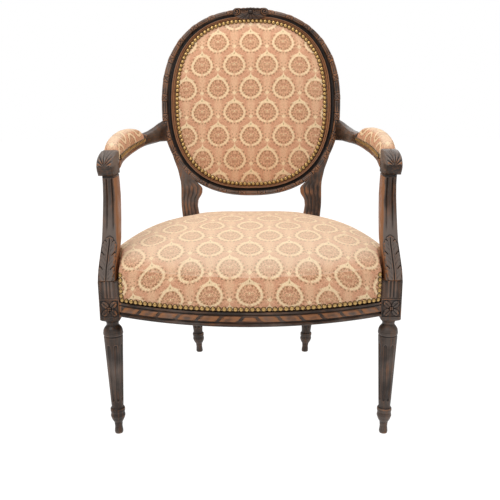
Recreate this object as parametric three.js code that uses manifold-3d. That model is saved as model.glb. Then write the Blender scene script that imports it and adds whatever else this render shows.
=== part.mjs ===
// Fauteuil: an open armchair with a medallion back, in millimetres. Up is +Z, the front is -Y.
// Left and right are as seen from the front, so left is -X.
import * as THREE from "three";
import { mergeVertices } from "three/addons/utils/BufferGeometryUtils.js";
import Module from "manifold-3d";

const wasm = await Module();
wasm.setup();

// Clearances and sheet thicknesses
const fitGap = 0.35;
const cutOverrun = 4;
const coverThickness = 2.4;
const clothThickness = 1.4;
const strapThickness = 1.8;

// Front legs
const legSpacing = 598;
const blockSize = 44;
const turnedHeight = 268;
const blockRise = 10;
const blockChamfer = 10;
const legRadius = 21.4;
const fluteDepth = 2.2;
const legSides = 16;

// Rear legs and uprights
const rearBlockSpacing = 330;
const rearBlockLead = 46;
const rearBlockRise = 40;
const rearSplay = 41;
const rearToeIn = 9;

// Seat rails
const railDrop = 17;
const railHeight = 67;
const ledgeHeight = 31;
const frontBow = 65;
const sideBow = 22;
const frontRailThickness = 28;
const sideRailThickness = 24;
const backRailThickness = 24;
const bandProud = 3.5;
const beadProud = 4;
const filletProud = 2;
const tenonLength = 14;
const tenonThickness = 9;
const tenonHeight = 38;

// Corner blocks and their screws
const frontBlockReach = 78;
const rearBlockReach = 70;
const cornerBlockDrop = 10;
const screwRadius = 2.2;
const screwHeadRadius = 4.4;
const screwHeadHeight = 2.6;
const screwLength = 48;

// Seat upholstery
const borderHeight = 66;
const borderDrawIn = 3;
const edgeRounding = 4;
const crownHeight = 76;
const strapWidth = 52;
const strapSetback = 16;
const springRadius = 34;
const springWire = 2.2;
const springTurns = 3;

// Medallion back
const medallionRise = 121;
const medallionLead = 45;
const medallionWidth = 487;
const medallionHeight = 500.6;
const backRake = THREE.MathUtils.degToRad(11.7);
const outerExponent = 2.35;
const frameDepth = 28;
const rebateDepth = 5;
const coveDepth = 5.5;
const bandRise = 1;
const edgeDrop = 6;
const sideFaceWidth = 43;
const headFaceWidth = 30.8;
const innerExponent = 2.5;
const innerLip = 18;
const crestAngle = THREE.MathUtils.degToRad(50);
const lowerAngle = THREE.MathUtils.degToRad(28.5);
const uprightFrontStep = 1.5;
const uprightBackStep = 1;
const backCrown = 24;
const outsideBulge = 3;

// Arms
const armClearance = 233;
const armReach = 472;
const armFront = 8;
const armPastJoint = 2.2;
const armOutsideJoint = 3.6;
const armBelowJoint = 22;
const armAboveJoint = 37.3;
const armCentre = 290;
const armWidth = 38;
const armSeatRise = 43;
const knuckleDepth = 74;
const knuckleHeight = 52;
const knuckleWidth = 37;
const knuckleFront = 32;
const eyeRadius = 5;
const padRearGap = 10.4;
const padHeight = 35;
const padSlot = 2;
const supportWidth = 37;
const supportDepth = 41;
const supportOutset = 3.5;
const supportShift = 17.5;
const grooveDepth = 2.2;

// Dowels
const dowelRadius = 4;
const dowelLength = 30;
const armDowelSetback = 6;

// Nails
const nailRadius = 5.3;
const nailHeight = 2.8;
const nailPitch = 11.3;
const stripHalfWidth = 0.8;
const stripHeight = 0.5;

// Carving
const carvingRelief = 4.5;
const crestCarvingWidth = 104;
const leafHeight = 120;
const leafRelief = 3;
const rosetteRadius = 13;

const legHalf = legSpacing / 2;
const blockHalf = blockSize / 2;
const rearHalf = rearBlockSpacing / 2;
const railBottom = turnedHeight + railDrop;
const railTop = railBottom + railHeight;
const blockTop = railTop + blockRise;
const rearBlockTop = railTop + rearBlockRise;
const rearBlockDepth = armReach - rearBlockLead;
const medallionBottom = railTop + medallionRise;
const medallionSetback = armReach - medallionLead;
const nailRingWidth = medallionWidth - 2 * sideFaceWidth;
const nailRingHeight = medallionHeight - 2 * headFaceWidth;
const armUnder = railTop + armClearance;
const ledgeTop = railBottom + ledgeHeight;
const borderBottom = ledgeTop + fitGap;
const borderTop = borderBottom + borderHeight;
const blockInner = legHalf - blockHalf;
const blockOuter = legHalf + blockHalf;
const rearInner = rearHalf - blockHalf;
const rearOuter = rearHalf + blockHalf;
const rearFront = rearBlockDepth - blockHalf;
const rearFace = rearBlockDepth + blockHalf;

// Materials
const material = (color, roughness, metalness = 0) =>
  new THREE.MeshStandardMaterial({ color, roughness, metalness });
const wood = material(0x2c211c, 0.45);
const innerWood = material(0x9b7b55, 0.7);
const fabric = material(0xe2b08a, 0.9);
const stuffingStuff = material(0xcdbb98, 0.95);
const hessian = material(0xa98f66, 0.95);
const webbing = material(0xb59a6c, 0.9);
const brass = material(0xa8842f, 0.35, 1);
const steel = material(0x77777a, 0.4, 1);

const chair = new THREE.Group();

function addPiece(name, geometry, look) {
  const mesh = new THREE.Mesh(geometry, look);
  mesh.name = name;
  chair.add(mesh);
}

function signedVolume(points, triangles) {
  let sum = 0;
  for (let i = 0; i < triangles.length; i += 3) {
    const [a, b, c] = [0, 1, 2].map((k) => points[triangles[i + k]]);
    sum += a.dot(b.clone().cross(c)) / 6;
  }
  return sum;
}

function closedGeometry(points, triangles) {
  const inward = signedVolume(points, triangles) < 0;
  const index = [];
  for (let i = 0; i < triangles.length; i += 3) {
    const [a, b, c] = triangles.slice(i, i + 3);
    index.push(a, inward ? c : b, inward ? b : c);
  }
  const geometry = new THREE.BufferGeometry();
  const values = points.flatMap((point) => point.toArray());
  geometry.setAttribute("position", new THREE.Float32BufferAttribute(values, 3));
  geometry.setIndex(index);
  return geometry;
}

// Sections of equal length joined one after another, with a fan at each end unless they close on themselves
function loft(sections, joined = false) {
  const points = sections.flat();
  const across = sections[0].length;
  const spans = joined ? sections.length : sections.length - 1;
  const triangles = [];
  for (let i = 0; i < spans; i += 1) {
    const here = i * across;
    const next = ((i + 1) % sections.length) * across;
    for (let j = 0; j < across; j += 1) {
      const k = (j + 1) % across;
      triangles.push(here + j, here + k, next + k);
      triangles.push(here + j, next + k, next + j);
    }
  }
  if (!joined) {
    const centre = (section) =>
      section.reduce((sum, point) => sum.add(point), new THREE.Vector3()).divideScalar(across);
    const first = points.push(centre(sections[0])) - 1;
    const last = points.push(centre(sections[sections.length - 1])) - 1;
    const end = (sections.length - 1) * across;
    for (let j = 0; j < across; j += 1) {
      const k = (j + 1) % across;
      triangles.push(first, k, j);
      triangles.push(last, end + j, end + k);
    }
  }
  return closedGeometry(points, triangles);
}

function bare(geometry) {
  geometry.deleteAttribute("normal");
  geometry.deleteAttribute("uv");
  return mergeVertices(geometry);
}

function toSolid(geometry) {
  const vertProperties = new Float32Array(geometry.attributes.position.array);
  const triVerts = new Uint32Array(geometry.index.array);
  return new wasm.Manifold(new wasm.Mesh({ numProp: 3, vertProperties, triVerts }));
}

function toGeometry(solid) {
  const mesh = solid.getMesh();
  const geometry = new THREE.BufferGeometry();
  geometry.setAttribute("position", new THREE.Float32BufferAttribute(mesh.vertProperties, 3));
  geometry.setIndex(new THREE.Uint32BufferAttribute(mesh.triVerts, 1));
  return geometry;
}

function join(first, ...others) {
  return toGeometry(others.reduce((solid, other) => solid.add(toSolid(other)), toSolid(first)));
}

function cut(first, ...others) {
  return toGeometry(others.reduce((solid, other) => solid.subtract(toSolid(other)), toSolid(first)));
}

function mirror(geometry) {
  const copy = geometry.clone();
  copy.scale(-1, 1, 1);
  const index = copy.index.array;
  for (let i = 0; i < index.length; i += 3) {
    [index[i + 1], index[i + 2]] = [index[i + 2], index[i + 1]];
  }
  return copy;
}

function addPair(name, geometry, look) {
  addPiece(`${name}_right`, geometry, look);
  addPiece(`${name}_left`, mirror(geometry), look);
}

function box(width, depth, height, x, y, z) {
  return bare(new THREE.BoxGeometry(width, depth, height)).translate(x, y, z);
}

// A cylinder about the line through a middle point along a direction
function rod(radius, length, middle, direction, sides = 12) {
  const turn = new THREE.Quaternion();
  turn.setFromUnitVectors(new THREE.Vector3(0, 1, 0), direction.clone().normalize());
  const geometry = bare(new THREE.CylinderGeometry(radius, radius, length, sides));
  geometry.applyQuaternion(turn);
  return geometry.translate(middle.x, middle.y, middle.z);
}

function dowel(middle, direction) {
  return {
    pin: rod(dowelRadius, dowelLength, middle, direction),
    hole: rod(dowelRadius + fitGap, dowelLength + 2 * fitGap, middle, direction),
  };
}

// A leaf or petal: a ridged lobe from its root to its tip, lifted off a face along its outward direction
function petal(root, tip, outward, width, relief) {
  const along = tip.clone().sub(root);
  const side = along.clone().cross(outward).normalize();
  const widest = root.clone().addScaledVector(along, 0.55);
  const points = [
    root.clone().addScaledVector(outward, relief / 2),
    tip.clone().addScaledVector(outward, relief / 3),
    widest.clone().addScaledVector(side, width / 2),
    widest.clone().addScaledVector(outward, relief),
    widest.clone().addScaledVector(side, -width / 2),
    widest.clone().addScaledVector(outward, -relief),
  ];
  const triangles = [];
  for (let i = 0; i < 4; i += 1) {
    const here = 2 + i;
    const next = 2 + ((i + 1) % 4);
    triangles.push(0, here, next, 1, next, here);
  }
  return closedGeometry(points, triangles);
}

// Turned leg: height as a share of the turned part, radius and flute depth as shares of their own sizes
const shoulderShare = 0.66;
const turningShares = [
  [0, 0.4, 0], [0.015, 0.45, 0], [0.06, 0.39, 0], [0.1, 0.43, 0], [0.127, 0.62, 0],
  [0.16, 0.76, 0], [0.192, 0.7, 0], [0.203, 0.73, 0], [0.228, 0.73, 0], [0.236, 0.61, 0],
  [0.275, 0.63, 0], [0.3, 0.65, 1], [0.8, 0.925, 1], [0.82, 0.94, 0], [0.872, 0.965, 0],
  [0.881, 0.92, 0], [0.888, 1, 0], [0.912, 1, 0], [0.934, 0.92, 0], [0.954, 0.76, 0], [0.972, 0.6, 0],
];

function legSection(x, y, z, radius, flute, squareness) {
  const points = [];
  for (let i = 0; i < legSides; i += 1) {
    const angle = (i * 2 * Math.PI) / legSides;
    const valley = i % 2 === 1 ? flute : 0;
    const reach = Math.max(Math.abs(Math.cos(angle)), Math.abs(Math.sin(angle)));
    const stretch = 1 + (1 / reach - 1) * squareness;
    const length = (radius - valley) * stretch;
    points.push(new THREE.Vector3(x + length * Math.cos(angle), y + length * Math.sin(angle), z));
  }
  return points;
}

function leg(x, y, toeIn, splay, top) {
  const sections = turningShares.map(([heightShare, radiusShare, fluteShare]) => {
    const z = turnedHeight * heightShare;
    const lean = 1 - heightShare;
    const flute = fluteDepth * fluteShare;
    return legSection(x - toeIn * lean, y + splay * lean, z, legRadius * radiusShare, flute, 0);
  });
  const shoulder = turnedHeight + blockChamfer;
  sections.push(legSection(x, y, turnedHeight, blockHalf * shoulderShare, 0, 0.5));
  sections.push(legSection(x, y, shoulder, blockHalf, 0, 1));
  sections.push(legSection(x, y, top, blockHalf, 0, 1));
  return loft(sections);
}

// Plan of the seat frame, inset inward from the outer face of the fabric border
const faceDepth = blockHalf + frontBow;
const faceRadius = (blockInner ** 2 + frontBow ** 2) / (2 * frontBow);
const faceCentre = faceRadius - faceDepth;
const sideStart = blockHalf + fitGap;
const sideEnd = rearFront - fitGap;

function frontY(x, inset) {
  return faceCentre - Math.sqrt((faceRadius - inset) ** 2 - x ** 2);
}

function sideX(y, inset) {
  const share = (y - blockHalf) / (rearFront - blockHalf);
  return blockOuter + (rearOuter - blockOuter) * share + 4 * sideBow * share * (1 - share) - inset;
}

const frontSteps = 7;
const sideSteps = 7;

function seatHalf(inset, notchInset) {
  const points = [];
  const frontEnd = blockInner - fitGap - notchInset;
  for (let i = 0; i < frontSteps; i += 1) {
    const x = ((blockInner - fitGap) * i) / frontSteps;
    points.push([x, frontY(x, inset)]);
  }
  const start = sideStart + notchInset;
  const end = sideEnd - notchInset;
  points.push([frontEnd, frontY(frontEnd, inset)], [frontEnd, start], [sideX(start, inset), start]);
  for (let i = 1; i < sideSteps; i += 1) {
    const y = sideStart + ((sideEnd - sideStart) * i) / sideSteps;
    points.push([sideX(y, inset), y]);
  }
  points.push([sideX(end, inset), end]);
  const rearX = rearInner - fitGap - notchInset;
  points.push([rearX, end]);
  points.push([rearX, rearFace - inset]);
  points.push([0, rearFace - inset]);
  return points;
}

const seatMiddle = (rearFace - faceDepth) / 2;

function seatRing(inset, z, share = 1, notchInset = inset) {
  const half = seatHalf(inset, notchInset);
  const other = half.slice(1, -1).reverse().map(([x, y]) => [-x, y]);
  return [...half, ...other].map(([x, y]) => {
    return new THREE.Vector3(x * share, seatMiddle + (y - seatMiddle) * share, z);
  });
}

// The border is drawn in at its nails and at its upper edge
const borderShares = [[0, borderDrawIn], [0.5, 0], [1, edgeRounding]];

function shareAt(table, column, share) {
  const last = table.length - 1;
  if (share <= table[0][0]) return table[0][column];
  for (let i = 0; i < last; i += 1) {
    const [from, to] = [table[i], table[i + 1]];
    if (share <= to[0]) {
      return from[column] + ((to[column] - from[column]) * (share - from[0])) / (to[0] - from[0]);
    }
  }
  return table[last][column];
}

function borderInset(z) {
  return shareAt(borderShares, 1, (z - borderBottom) / borderHeight);
}

// How evenly the crown climbs from its edge: toward the front, the sides and the rear
const crownEvenness = { front: 0.92, side: 0.34, rear: 0.8 };
const crownFirmEdge = 0.12;

function crownShare(share, sideways, rearward) {
  const lengthwise = rearward > 0 ? crownEvenness.rear : crownEvenness.front;
  const turn = sideways ** 2 / (sideways ** 2 + rearward ** 2);
  const even = crownEvenness.side * turn + lengthwise * (1 - turn);
  const soft = even * (1 - share ** 2) + (1 - even) * (1 - share ** 11);
  return crownFirmEdge * (1 - share ** 24) + (1 - crownFirmEdge) * soft;
}

const crownRingShares = [0.975, 0.9, 0.77, 0.56, 0.25];

// The seat's soft shape, drawn inward by an amount and standing on a given height
function seatDome(shrink, base) {
  const rings = [seatRing(borderInset(base) + shrink, base)];
  for (const [share, inset] of borderShares) {
    const z = borderBottom + borderHeight * share;
    if (z > base + fitGap) rings.push(seatRing(inset + shrink, share === 1 ? z - shrink : z));
  }
  for (const share of crownRingShares) {
    const ring = seatRing(borderInset(borderTop) + shrink, borderTop - shrink, share);
    for (const point of ring) point.z += crownHeight * crownShare(share, point.x, point.y - seatMiddle);
    rings.push(ring);
  }
  return loft(rings);
}

// Rails: a profile of outward reach and height, swept along the seat plan
const upperInset = borderDrawIn + coverThickness + fitGap;
const ledgeShares = [0, 0.06, 0.2, 0.25, 0.32, 0.52, 0.72, 0.77, 0.84, 1];
const ledgeHeights = ledgeShares.map((share) => share * ledgeHeight);
const ledgeReaches = [
  filletProud, beadProud, beadProud, 0, bandProud, bandProud + filletProud / 2, bandProud, 0,
  filletProud, filletProud,
];
const frontProfile = [
  ...ledgeHeights.map((height, i) => [ledgeReaches[i], railBottom + height]),
  [-upperInset, ledgeTop],
  [-upperInset, railTop],
  [-frontRailThickness, railTop],
  [-frontRailThickness, railBottom],
];
const sideProfile = [
  [0, railBottom],
  [0, ledgeTop],
  [-upperInset, ledgeTop],
  [-upperInset, railTop],
  [-sideRailThickness, railTop],
  [-sideRailThickness, railBottom],
];

const railMiddle = railBottom + railHeight / 2;

function frontRail() {
  const half = blockInner - fitGap;
  const sections = [];
  for (let i = -frontSteps; i <= frontSteps; i += 1) {
    const x = (half * i) / frontSteps;
    sections.push(frontProfile.map(([reach, z]) => new THREE.Vector3(x, frontY(x, -reach), z)));
  }
  return loft(sections);
}

function sideRail() {
  const sections = [];
  for (let i = 0; i <= sideSteps; i += 1) {
    const y = sideStart + ((sideEnd - sideStart) * i) / sideSteps;
    sections.push(sideProfile.map(([reach, z]) => new THREE.Vector3(sideX(y, -reach), y, z)));
  }
  return loft(sections);
}

function backRail() {
  const half = rearInner - fitGap;
  const outer = rearFace - upperInset;
  const profile = [
    [rearFace, railBottom],
    [rearFace, ledgeTop],
    [outer, ledgeTop],
    [outer, railTop],
    [rearFace - backRailThickness, railTop],
    [rearFace - backRailThickness, railBottom],
  ];
  return loft([-half, half].map((x) => profile.map(([y, z]) => new THREE.Vector3(x, y, z))));
}

// The space above the rails that the border of the cover hangs around
function railEnvelope() {
  const bottom = borderBottom - cutOverrun;
  const top = railTop + fitGap;
  const shares = [bottom, borderBottom, (borderBottom + borderTop) / 2, top].filter((z) => z <= top);
  return loft(shares.map((z) => seatRing(borderInset(z) + coverThickness, z, 1, -fitGap / 2)));
}

// Tenons: where each rail end enters its leg block
const frontTenonY = frontY(blockInner, frontRailThickness / 2);
const frontTenonX = blockInner + tenonLength / 2;
const sideFrontX = sideX(sideStart, sideRailThickness / 2);
const sideRearX = sideX(sideEnd, sideRailThickness / 2);
const backTenonY = rearFace - (backRailThickness + upperInset) / 2;
const tenonRoot = tenonThickness / 2;
const tenonReach = tenonLength + 2 * tenonRoot;
const tenonMiddle = tenonLength / 2 - tenonRoot;
const tenonShapes = {
  front: [tenonReach, tenonThickness, frontTenonX - tenonRoot, frontTenonY],
  sideFront: [tenonThickness, tenonReach, sideFrontX, blockHalf - tenonMiddle],
  sideRear: [tenonThickness, tenonReach, sideRearX, rearFront + tenonMiddle],
  back: [tenonReach, tenonThickness, rearInner + tenonMiddle, backTenonY],
};

function tenon(place, growth = 0) {
  const [width, depth, x, y] = tenonShapes[place];
  const grown = 2 * growth;
  return box(width + grown, depth + grown, tenonHeight + grown, x, y, railMiddle);
}

// Back plane: across the chair, up along the rake, and forward from the face of the frame
const rakeUp = new THREE.Vector3(0, Math.sin(backRake), Math.cos(backRake));
const rakeForward = new THREE.Vector3(0, -Math.cos(backRake), Math.sin(backRake));
const medallionMiddle = medallionHeight / 2;

function backPoint(x, up, forward) {
  const point = new THREE.Vector3(x, medallionSetback, medallionBottom);
  return point.addScaledVector(rakeUp, up).addScaledVector(rakeForward, forward);
}

function polarRadius(angle, halfWidth, halfHeight, exponent) {
  const across = Math.abs(Math.cos(angle)) / halfWidth;
  const upward = Math.abs(Math.sin(angle)) / halfHeight;
  return (across ** exponent + upward ** exponent) ** (-1 / exponent);
}

function nailRadiusAt(angle) {
  return polarRadius(angle, nailRingWidth / 2, nailRingHeight / 2, innerExponent);
}

function outerRadiusAt(angle) {
  return polarRadius(angle, medallionWidth / 2, medallionHeight / 2, outerExponent);
}

function ringPoint(angle, radius, forward) {
  return backPoint(radius * Math.cos(angle), medallionMiddle + radius * Math.sin(angle), forward);
}

// Frame profile: share from the nail ring (0) to the outer edge (1) or the inner edge (-1), and depth
const frameProfile = [
  [-1, -rebateDepth], [0.17, -rebateDepth], [0.3, 0], [0.4, 0], [0.47, -coveDepth], [0.56, -coveDepth],
  [0.64, bandRise], [0.88, bandRise], [1, -edgeDrop], [1, -frameDepth], [-1, -frameDepth],
];

// A grown section is the space that the frame takes: it has no grooves
function frameSection(angle, grow = 0) {
  const inner = nailRadiusAt(angle);
  const outer = outerRadiusAt(angle);
  return frameProfile.map(([share, depth]) => {
    const radius = share < 0 ? inner + share * innerLip : inner + share * (outer - inner);
    const spread = share === 1 ? grow : 0;
    const isBack = depth === -frameDepth;
    const face = grow > 0 && share < 1 ? bandRise : depth;
    return ringPoint(angle, radius + spread, isBack ? depth - grow : face + grow);
  });
}

function frameArc(from, to, steps, grow = 0) {
  const sections = [];
  for (let i = 0; i <= steps; i += 1) {
    sections.push(frameSection(from + ((to - from) * i) / steps, grow));
  }
  return loft(sections);
}

const jointTurn = fitGap / (2 * (nailRingWidth / 2));
const crestSteps = 14;
const sideArcSteps = 15;
const lowerSteps = 10;
const lowerStart = Math.PI / 2 - lowerAngle;

// Upright between the seat and the medallion: height share, inner and outer share of the half width
const uprightShares = [
  [-0.2, 0.6, 0.758], [-0.165, 0.6, 0.762], [-0.12, 0.583, 0.771], [-0.055, 0.607, 0.785],
  [-0.02, 0.6, 0.787], [0.012, 0.558, 0.787], [0.044, 0.553, 0.787], [0.076, 0.616, 0.792],
  [0.14, 0.72, 0.822], [0.2, 0.78, 0.868], [0.26, 0.85, 0.9],
];

function upright() {
  const halfWidth = medallionWidth / 2;
  const front = -uprightFrontStep;
  const back = uprightBackStep - frameDepth;
  const bevel = uprightFrontStep;
  return loft(uprightShares.map(([upShare, innerShare, outerShare]) => {
    const up = medallionHeight * upShare;
    const inner = halfWidth * innerShare;
    const outer = halfWidth * outerShare;
    return [
      backPoint(inner, up, back),
      backPoint(inner, up, front - bevel),
      backPoint(inner + bevel, up, front),
      backPoint(outer - bevel, up, front),
      backPoint(outer, up, front - bevel),
      backPoint(outer, up, back),
    ];
  }));
}

// Arms: how far back, how far inward, underside, top and width, as shares of the arm's own sizes
const armShares = [
  [0.06, 0, 0.05, -0.27, 0.94], [0.16, -0.06, 0.33, -0.18, 1], [0.3, -0.12, 0.47, -0.054, 1.04],
  [0.42, -0.06, 0.53, 0.054, 1.04], [0.54, 0.1, 0.62, 0.162, 1], [0.63, 0.27, 0.73, 0.243, 0.96],
  [0.7, 0.4, 0.83, 0.36, 0.9], [0.8, 0.56, 0.93, 0.6, 0.8], [0.9, 0.76, 0.97, 0.85, 0.72],
  [0.95, 0.92, 0.97, 1, 0.72], [0.985, 1.02, 0.97, 1.06, 0.7], [1.008, 1.12, 0.97, 1.1, 0.68],
];

const armJointShare = 0.345;
const midDepth = -(frameDepth + rebateDepth) / 2;
const armAngle = -Math.asin((medallionMiddle - armJointShare * medallionHeight) / outerRadiusAt(0));
const armJoint = ringPoint(armAngle, outerRadiusAt(armAngle), midDepth);
const armTop = armUnder + armSeatRise;
const armSpan = armJoint.y - armFront + armPastJoint;
const armInset = armCentre - armJoint.x - armOutsideJoint;
const armRise = armJoint.z - armUnder - armBelowJoint;
const armTopRise = armJoint.z - armTop + armAboveJoint;

function armX(share) {
  return armCentre - armInset * shareAt(armShares, 1, share);
}

function armBody() {
  return loft(armShares.map(([reachShare, inwardShare, underShare, topShare, widthShare]) => {
    const x = armCentre - armInset * inwardShare;
    const y = armFront + armSpan * reachShare;
    const under = armUnder + armRise * underShare;
    const top = armTop + armTopRise * topShare;
    const half = (armWidth / 2) * widthShare;
    const soft = half * 0.3;
    return [
      [-half + soft, under], [half - soft, under], [half, under + soft], [half, top - soft / 2],
      [half - soft / 2, top], [-half + soft / 2, top], [-half, top - soft / 2], [-half, under + soft],
    ].map(([across, z]) => new THREE.Vector3(x + across, y, z));
  }));
}

// Knuckle: side outline as shares of its depth and height, from the front underside round to the rear
const knuckleShares = [
  [0.16, 0], [1, 0], [1, 0.93], [0.72, 1], [0.42, 1], [0.2, 0.9], [0.05, 0.72], [0, 0.48], [0.03, 0.24],
  [0.08, 0.09],
];

function knuckle() {
  const sides = [[-0.5, 0.88], [-0.42, 1], [0.42, 1], [0.5, 0.88]];
  const middle = [0.55, 0.5];
  return loft(sides.map(([acrossShare, scaleShare]) => knuckleShares.map(([depthShare, heightShare]) => {
    const y = -knuckleFront + knuckleDepth * (middle[0] + (depthShare - middle[0]) * scaleShare);
    const rise = heightShare === 0 ? 0 : middle[1] + (heightShare - middle[1]) * scaleShare;
    return new THREE.Vector3(armCentre + knuckleWidth * acrossShare, y, armUnder + knuckleHeight * rise);
  })));
}

const eyeHeightShare = 0.46;

function knuckleEye(side) {
  const eye = bare(new THREE.IcosahedronGeometry(eyeRadius, 0));
  const x = armCentre + side * (knuckleWidth / 2 - eyeRadius);
  const y = -knuckleFront + eyeRadius / 2;
  return eye.translate(x, y, armUnder + knuckleHeight * eyeHeightShare);
}

// Arm support: height, width, depth, inward shift and groove, as shares of its own sizes
const supportShares = [
  [0, 1, 1, 0, 0], [0.1, 0.96, 1, 0.1, 0], [0.22, 0.95, 0.98, 0.3, 0], [0.34, 0.86, 0.96, 0.62, 0],
  [0.42, 0.76, 0.98, 0.84, 0.3], [0.52, 0.69, 1, 0.95, 1], [0.66, 0.67, 1.02, 1, 1],
  [0.8, 0.66, 1.04, 1, 1], [0.92, 0.67, 1.04, 0.95, 1], [1, 0.7, 1.02, 0.85, 1],
];
const supportFaceShares = [
  [-0.5, 0.5, 0], [0.5, 0.5, 0], [0.5, -0.42, 0], [0.42, -0.5, 0], [0.28, -0.5, 0], [0.2, -0.5, 1],
  [0.13, -0.5, 1], [0.07, -0.5, 0], [-0.07, -0.5, 0], [-0.13, -0.5, 1], [-0.2, -0.5, 1],
  [-0.28, -0.5, 0], [-0.42, -0.5, 0], [-0.5, -0.42, 0],
];
const supportBottom = blockTop + fitGap;
const supportHeight = armUnder - fitGap - supportBottom;

function supportX(shiftShare) {
  return legHalf + supportOutset - supportShift * shiftShare;
}

function armSupport() {
  const sections = supportShares.map(([heightShare, widthShare, depthShare, shiftShare, grooveShare]) => {
    const z = supportBottom + supportHeight * heightShare;
    const x = supportX(shiftShare);
    const y = (supportDepth - blockSize) / 2 + fitGap;
    return supportFaceShares.map(([acrossShare, deepShare, cutShare]) => new THREE.Vector3(
      x + supportWidth * widthShare * acrossShare,
      y + supportDepth * depthShare * deepShare + grooveDepth * grooveShare * cutShare,
      z,
    ));
  });
  return loft(sections);
}

const forward = new THREE.Vector3(0, -1, 0);
const leafLobeShares = [
  [0, 0.72, 0, 1, 0.3], [0.04, 0.6, 0.3, 0.86, 0.26], [0.04, 0.42, 0.42, 0.66, 0.26],
  [0.04, 0.16, 0.44, 0.42, 0.24],
];

function acanthus() {
  const lobes = [];
  const faceY = supportDepth * -0.5 + (supportDepth - blockSize) / 2 + fitGap;
  const point = (acrossShare, upShare) => {
    const share = (leafHeight * upShare) / supportHeight;
    const x = supportX(shareAt(supportShares, 3, share));
    return new THREE.Vector3(x + supportWidth * acrossShare, faceY, supportBottom + leafHeight * upShare);
  };
  for (const side of [-1, 1]) {
    for (const [rootAcross, rootUp, tipAcross, tipUp, widthShare] of leafLobeShares) {
      const root = point(side * rootAcross, rootUp);
      const tip = point(side * tipAcross, tipUp);
      const width = supportWidth * widthShare;
      if (tipAcross > 0 || side > 0) lobes.push(petal(root, tip, forward, width, leafRelief));
    }
  }
  return lobes;
}

function rosette(x, z) {
  const petals = [];
  const centre = new THREE.Vector3(x, -blockHalf, z);
  for (let i = 0; i < 4; i += 1) {
    const angle = Math.PI / 4 + (i * Math.PI) / 2;
    const outwards = new THREE.Vector3(Math.cos(angle), 0, Math.sin(angle));
    const root = centre.clone().addScaledVector(outwards, rosetteRadius * 0.15);
    const tip = centre.clone().addScaledVector(outwards, rosetteRadius);
    petals.push(petal(root, tip, forward, rosetteRadius * 0.5, leafRelief * 0.7));
  }
  return petals;
}

// Crest carving: fan lobes, flower and scrolls, placed as shares of the carving's width from the top edge
const crestLobeShares = [
  [0, 0.1, 0, -0.2, 0.13], [0.05, 0.1, 0.13, -0.19, 0.13], [0.09, 0.1, 0.25, -0.16, 0.13],
  [0.12, 0.1, 0.36, -0.09, 0.13], [0.14, 0.16, 0.48, 0.06, 0.18], [0.08, 0.26, 0.42, 0.28, 0.16],
  [0, 0.22, 0.12, 0.4, 0.16],
];

function crestCarving() {
  const lobes = [];
  const base = medallionHeight - (medallionHeight - nailRingHeight) / 4;
  const place = (acrossShare, upShare) =>
    backPoint(crestCarvingWidth * acrossShare, base + crestCarvingWidth * upShare * 0.5, bandRise);
  for (const side of [-1, 1]) {
    for (const [rootAcross, rootUp, tipAcross, tipUp, widthShare] of crestLobeShares) {
      if (tipAcross === 0 && side < 0) continue;
      const root = place(side * rootAcross, rootUp);
      const tip = place(side * tipAcross, tipUp);
      lobes.push(petal(root, tip, rakeForward, crestCarvingWidth * widthShare, carvingRelief));
    }
  }
  return lobes;
}

// Rows of nails, joined by a narrow strip: one peak for each nail, along a path of places and directions
function nailRow(path, joined) {
  const lengths = [0];
  const loop = joined ? [...path, path[0]] : path;
  for (let i = 1; i < loop.length; i += 1) {
    lengths.push(lengths[i - 1] + loop[i].place.distanceTo(loop[i - 1].place));
  }
  const total = lengths[lengths.length - 1];
  const count = Math.max(2, Math.round(total / nailPitch));
  const stations = joined ? 2 * count : 2 * count - 1;
  const step = joined ? total / stations : (total - 2 * nailRadius) / (stations - 1);
  const start = joined ? 0 : nailRadius;
  const sections = [];
  let span = 1;
  for (let i = 0; i < stations; i += 1) {
    const along = start + step * i;
    while (lengths[span] < along && span < loop.length - 1) span += 1;
    const share = (along - lengths[span - 1]) / (lengths[span] - lengths[span - 1]);
    const [from, to] = [loop[span - 1], loop[span]];
    const place = from.place.clone().lerp(to.place, share);
    const out = from.out.clone().lerp(to.out, share).normalize();
    const direction = to.place.clone().sub(from.place).normalize();
    const across = direction.clone().cross(out).normalize();
    const isNail = i % 2 === 0;
    const half = isNail ? nailRadius : stripHalfWidth;
    const height = isNail ? nailHeight : stripHeight;
    sections.push([
      place.clone().addScaledVector(across, half),
      place.clone().addScaledVector(out, height),
      place.clone().addScaledVector(across, -half),
    ]);
  }
  return loft(sections, joined);
}

const nailRise = nailRadius + fitGap;
const nailZ = borderBottom + nailRise;
const nailInset = borderInset(nailZ + nailRadius);

function borderNail(x, y, outX, outY, z) {
  return { place: new THREE.Vector3(x, y, z), out: new THREE.Vector3(outX, outY, 0).normalize() };
}

function frontNailPath() {
  const half = blockInner - fitGap - nailRadius - borderDrawIn - fitGap;
  const path = [];
  const climb = (side) => [1, 0.8, 0.6, 0.4, 0.2].map((share) => {
    const z = nailZ + (blockTop - nailZ) * share;
    const x = side * half;
    return borderNail(x, frontY(x, borderInset(z + nailRadius) - fitGap) - fitGap, x, -faceCentre, z);
  });
  path.push(...climb(-1));
  for (let i = -frontSteps * 2; i <= frontSteps * 2; i += 1) {
    const x = (half * i) / (frontSteps * 2);
    const y = frontY(x, nailInset - fitGap);
    path.push(borderNail(x, y, x, y - faceCentre, nailZ));
  }
  path.push(...climb(1).reverse());
  return path;
}

function sideNailPath() {
  const path = [];
  const from = sideStart + nailRadius + borderDrawIn;
  const to = sideEnd - nailRadius - borderDrawIn;
  for (let i = 0; i <= 2 * sideSteps; i += 1) {
    const y = from + ((to - from) * i) / (2 * sideSteps);
    const inset = nailInset - fitGap;
    const slope = sideX(y + fitGap, inset) - sideX(y, inset);
    path.push(borderNail(sideX(y, inset), y, fitGap, -slope, nailZ));
  }
  return path;
}

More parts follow.
